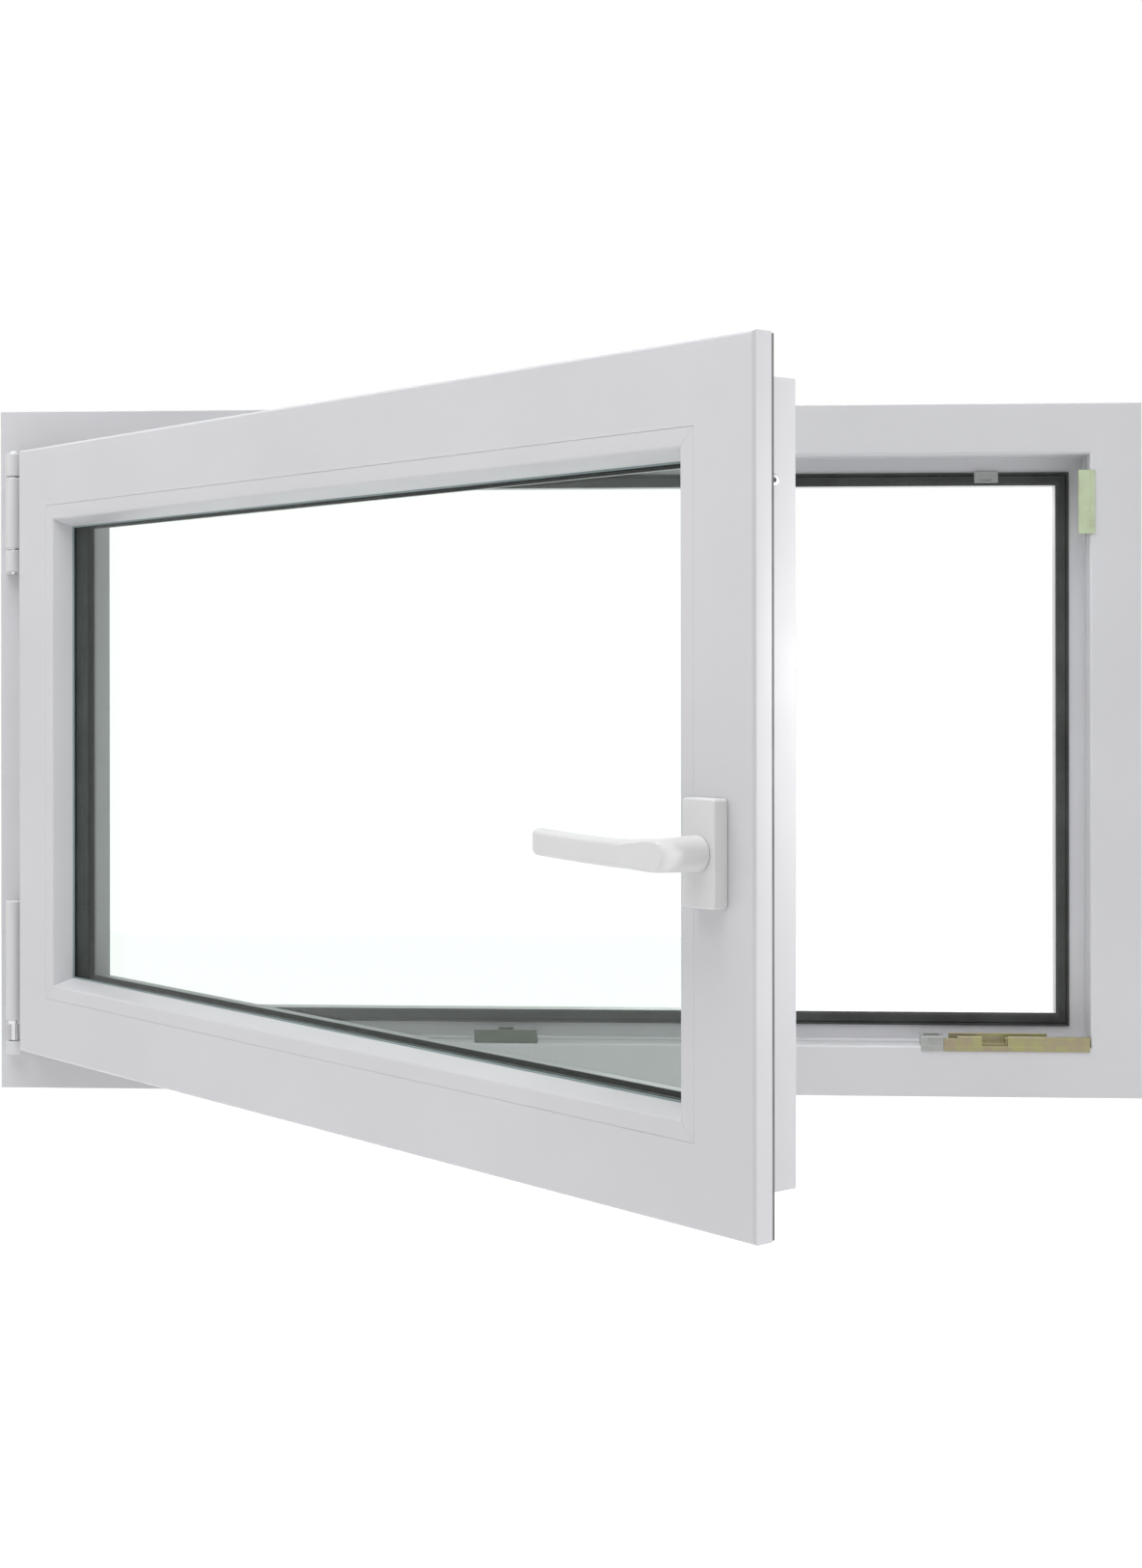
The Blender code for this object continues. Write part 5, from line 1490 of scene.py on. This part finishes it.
# %% Camera
camera_data = bpy.data.cameras.new("room_camera")
camera = bpy.data.objects.new("room_camera", camera_data)
bpy.context.scene.collection.objects.link(camera)
bpy.context.scene.camera = camera
YAW, ROLL = -0.0622, -0.0011
forward = Vector((math.sin(YAW), math.cos(YAW), 0.0))
level = Vector((math.cos(YAW), -math.sin(YAW), 0.0))
upright = level.cross(forward)
right = math.cos(ROLL) * level + math.sin(ROLL) * upright
upward = math.cos(ROLL) * upright - math.sin(ROLL) * level
stand = turn_onto(right, upward, -forward)
stand.translation = (0.1357, -2.0916, 0.3623)
camera.matrix_world = stand
camera_data.sensor_width = 36.0
camera_data.lens = 54.25
camera_data.shift_y = -0.0671
camera_data.dof.use_dof = False
print("camera at", [round(c, 3) for c in stand.translation], "with", camera_data.lens, "mm")

# %% [markdown]
# ## Lamps
#
# A white window shows its form through small steps of tone only, so most light comes from
# above: a big soft lamp high at the front and two under the ceiling. A weak lamp at the left
# and one low at the right keep the shadows open, and another stands outside for the weather
# side. A narrow beam lights the free edge of the sash. Each lamp is given by the light level
# that it makes on a surface facing it, which is easier to plan with than watts.

# %% Lamps
def place_lamp(data, place, aim):
    """Put a lamp in the scene, looking at its aim, and keep its own shape out of the glass."""
    lamp = bpy.data.objects.new(data.name, data)
    bpy.context.scene.collection.objects.link(lamp)
    lamp.location = place
    lamp.rotation_euler = (Vector(place) - Vector(aim)).to_track_quat("Z", "Y").to_euler()
    lamp.visible_transmission = False
    print(f"{data.name}: {data.energy:.1f} W")


def soft_lamp(name, place, aim, size, level):
    """A square lamp that gives this light level on a surface that faces it at its aim."""
    data = bpy.data.lights.new(name, "AREA")
    data.shape, data.size = "SQUARE", size
    data.energy = level * math.pi**2 * (Vector(place) - Vector(aim)).length_squared
    place_lamp(data, place, aim)


def narrow_lamp(name, place, aim, size, level, beam):
    """A round lamp whose light stays inside a beam of some degrees."""
    data = bpy.data.lights.new(name, "SPOT")
    data.shadow_soft_size, data.spot_size, data.spot_blend = size / 2, math.radians(beam), 0.6
    data.energy = level * 4 * math.pi**2 * (Vector(place) - Vector(aim)).length_squared
    place_lamp(data, place, aim)


soft_lamp("front_light", (-0.3, -2.6, 3.0), (0.0, -0.35, 0.3), 2.0, 0.27)
soft_lamp("left_light", (-3.0, -1.6, 1.0), (0.0, -0.35, 0.3), 2.0, 0.11)
soft_lamp("ceiling_light", (0.1, -0.7, 3.4), (0.1, -0.1, 0.3), 2.2, 0.38)
soft_lamp("upper_left_light", (-1.2, -0.9, 3.2), (0.1, -0.1, 0.3), 2.2, 0.38)
soft_lamp("low_light", (1.4, -1.8, -0.6), (0.1, 0.0, 0.4), 1.6, 0.07)
soft_lamp("garden_light", (0.9, 3.2, 1.7), (0.0, 0.0, 0.3), 2.2, 0.38)
narrow_lamp("edge_light", (2.8, -0.35, 0.35), (0.14, -0.71, 0.3), 0.4, 0.50, 26.0)

# %% [markdown]
# ## World and floor
#
# The room round the window is white, but a white world would light every surface so evenly that
# the profiles lose their form. Light Path tells the two uses apart. Rays that show the room
# straight, mirrored or through glass count as seen, and the others only carry light. The tint
# of the panes would turn the white behind them grey, so what is seen through glass is lifted.

# %% Shares of a ray
AMBIENT = 0.25
GLASS_LIFT = 1.6
WHOLE_REACH = (0.0, 1.0)


def combine(tree, operation, first, second, clamp=True):
    """A Math node on two sockets, or on a socket and a number."""
    node = tree.nodes.new("ShaderNodeMath")
    node.operation, node.use_clamp = operation, clamp
    for socket, value in zip(node.inputs, (first, second)):
        if isinstance(value, float):
            socket.default_value = value
        else:
            tree.links.new(value, socket)
    return node.outputs[0]


def seen_share(tree):
    """1 for rays that show a thing to the camera, straight, mirrored or through glass."""
    path = tree.nodes.new("ShaderNodeLightPath").outputs
    seen = combine(tree, "ADD", path["Is Camera Ray"], path["Is Glossy Ray"])
    seen = combine(tree, "ADD", seen, path["Is Transmission Ray"])
    early = combine(tree, "LESS_THAN", path["Diffuse Depth"], 0.5)
    return combine(tree, "MULTIPLY", seen, early)


def counted_share(tree):
    """0 for light gathered through glass by a matt surface, which its lamp rays bring already."""
    path = tree.nodes.new("ShaderNodeLightPath").outputs
    late = combine(tree, "GREATER_THAN", path["Diffuse Depth"], 0.5)
    twice = combine(tree, "MULTIPLY", late, path["Is Transmission Ray"])
    return combine(tree, "SUBTRACT", 1.0, twice)


def lifted(tree, level):
    """Raise a level for what is seen through glass, so that its tint leaves the white white."""
    path = tree.nodes.new("ShaderNodeLightPath").outputs
    lift = ramp(tree, path["Is Transmission Ray"], 1.0, GLASS_LIFT, WHOLE_REACH)
    return combine(tree, "MULTIPLY", level, lift, clamp=False)

# %% [markdown]
# ### White room
#
# The world is white where it is seen and a quarter as strong where it lights. That quarter
# fills the shadows evenly from all sides.

# %% World
world = bpy.data.worlds.new("white_room")
world.use_nodes = True
bpy.context.scene.world = world
sky = world.node_tree
room_level = ramp(sky, seen_share(sky), AMBIENT, 1.0, WHOLE_REACH)
strength = combine(sky, "MULTIPLY", room_level, counted_share(sky))
sky.links.new(lifted(sky, strength), sky.nodes["Background"].inputs["Strength"])
sky.nodes["Background"].inputs["Color"].default_value = (1.0, 1.0, 1.0, 1.0)
print("the world lights at", AMBIENT, "and is lifted by", GLASS_LIFT, "behind glass")

# %% [markdown]
# ### Pale floor
#
# The floor is one big face, far enough down to keep clear of the window. Its matt paint also
# glows, more for the rays that see it, so that it comes close to the white behind it and still
# takes the window's shadow.

# %% Floor
FLOOR_Z, FLOOR_HALF = -0.85, 9.0
LIT_GLOW, SEEN_GLOW = 0.36, 0.78
floor_bm = bmesh.new()
bmesh.ops.create_grid(floor_bm, x_segments=1, y_segments=1, size=FLOOR_HALF)
bmesh.ops.translate(floor_bm, vec=(0, 0, FLOOR_Z), verts=floor_bm.verts)
floor_mesh = bpy.data.meshes.new("pale_floor")
floor_bm.to_mesh(floor_mesh)
floor_bm.free()
floor = bpy.data.objects.new("pale_floor", floor_mesh)
bpy.context.scene.collection.objects.link(floor)
FLOOR_PAINT = new_material("floor_paint", (0.80, 0.80, 0.80), 0.9)
paint = FLOOR_PAINT.node_tree
glow = paint.nodes.new("ShaderNodeEmission")
glow_level = ramp(paint, seen_share(paint), LIT_GLOW, SEEN_GLOW, WHOLE_REACH)
paint.links.new(lifted(paint, glow_level), glow.inputs["Strength"])
both = paint.nodes.new("ShaderNodeAddShader")
paint.links.new(paint.nodes["Principled BSDF"].outputs[0], both.inputs[0])
paint.links.new(glow.outputs[0], both.inputs[1])
paint.links.new(both.outputs[0], paint.nodes["Material Output"].inputs["Surface"])
floor_mesh.materials.append(FLOOR_PAINT)
floor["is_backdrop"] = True
print("floor at", FLOOR_Z, "m")

# %% [markdown]
# ### View transform
#
# The Standard view shows a colour as it is written, so a white stays white.

# %% View transform
bpy.context.scene.view_settings.view_transform = "Standard"

# %% [markdown]
# ## The nodes that keep their CAD mesh
#
# Fifteen nodes are flat panes, plain blocks or hidden steel, whose CAD shape is as fine as the
# real one. They stay as they are and only take one of the finishes made above.

# %% Finishes for the nodes that stay
for material, nodes in (
    (GLASS, ("glass_pane_inner", "glass_pane_outer")),
    (GLAZING_RUBBER, ("glass_edge_seal",)),
    (GALVANISED, ("frame_steel_head", "frame_steel_sill", "sash_steel_top", "sash_steel_bottom")),
    (GREY_PLASTIC, ("setting_block_hinge", "setting_block_lock", "rosette_base", "stay_bush")),
    (ZINC_LEVEL, ("handle_screw_upper", "handle_screw_lower")),
    (ZINC_UPRIGHT, ("gearbox_pinion", "corner_swivel_bush")),
):
    for node in nodes:
        for slot in frame["nodes"][node].material_slots:
            slot.material = material
    print(f"{material.name}:", ", ".join(nodes))

# %% [markdown]
# ## The size of the finished window
#
# The box round all the finished pieces, without the floor, is printed. The fine pieces are
# meant to stay inside the sizes that the CAD gives.

# %% Print the box of the window
low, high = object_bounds()
print("visual box:", [round(c, 4) for c in (*low, *high)])
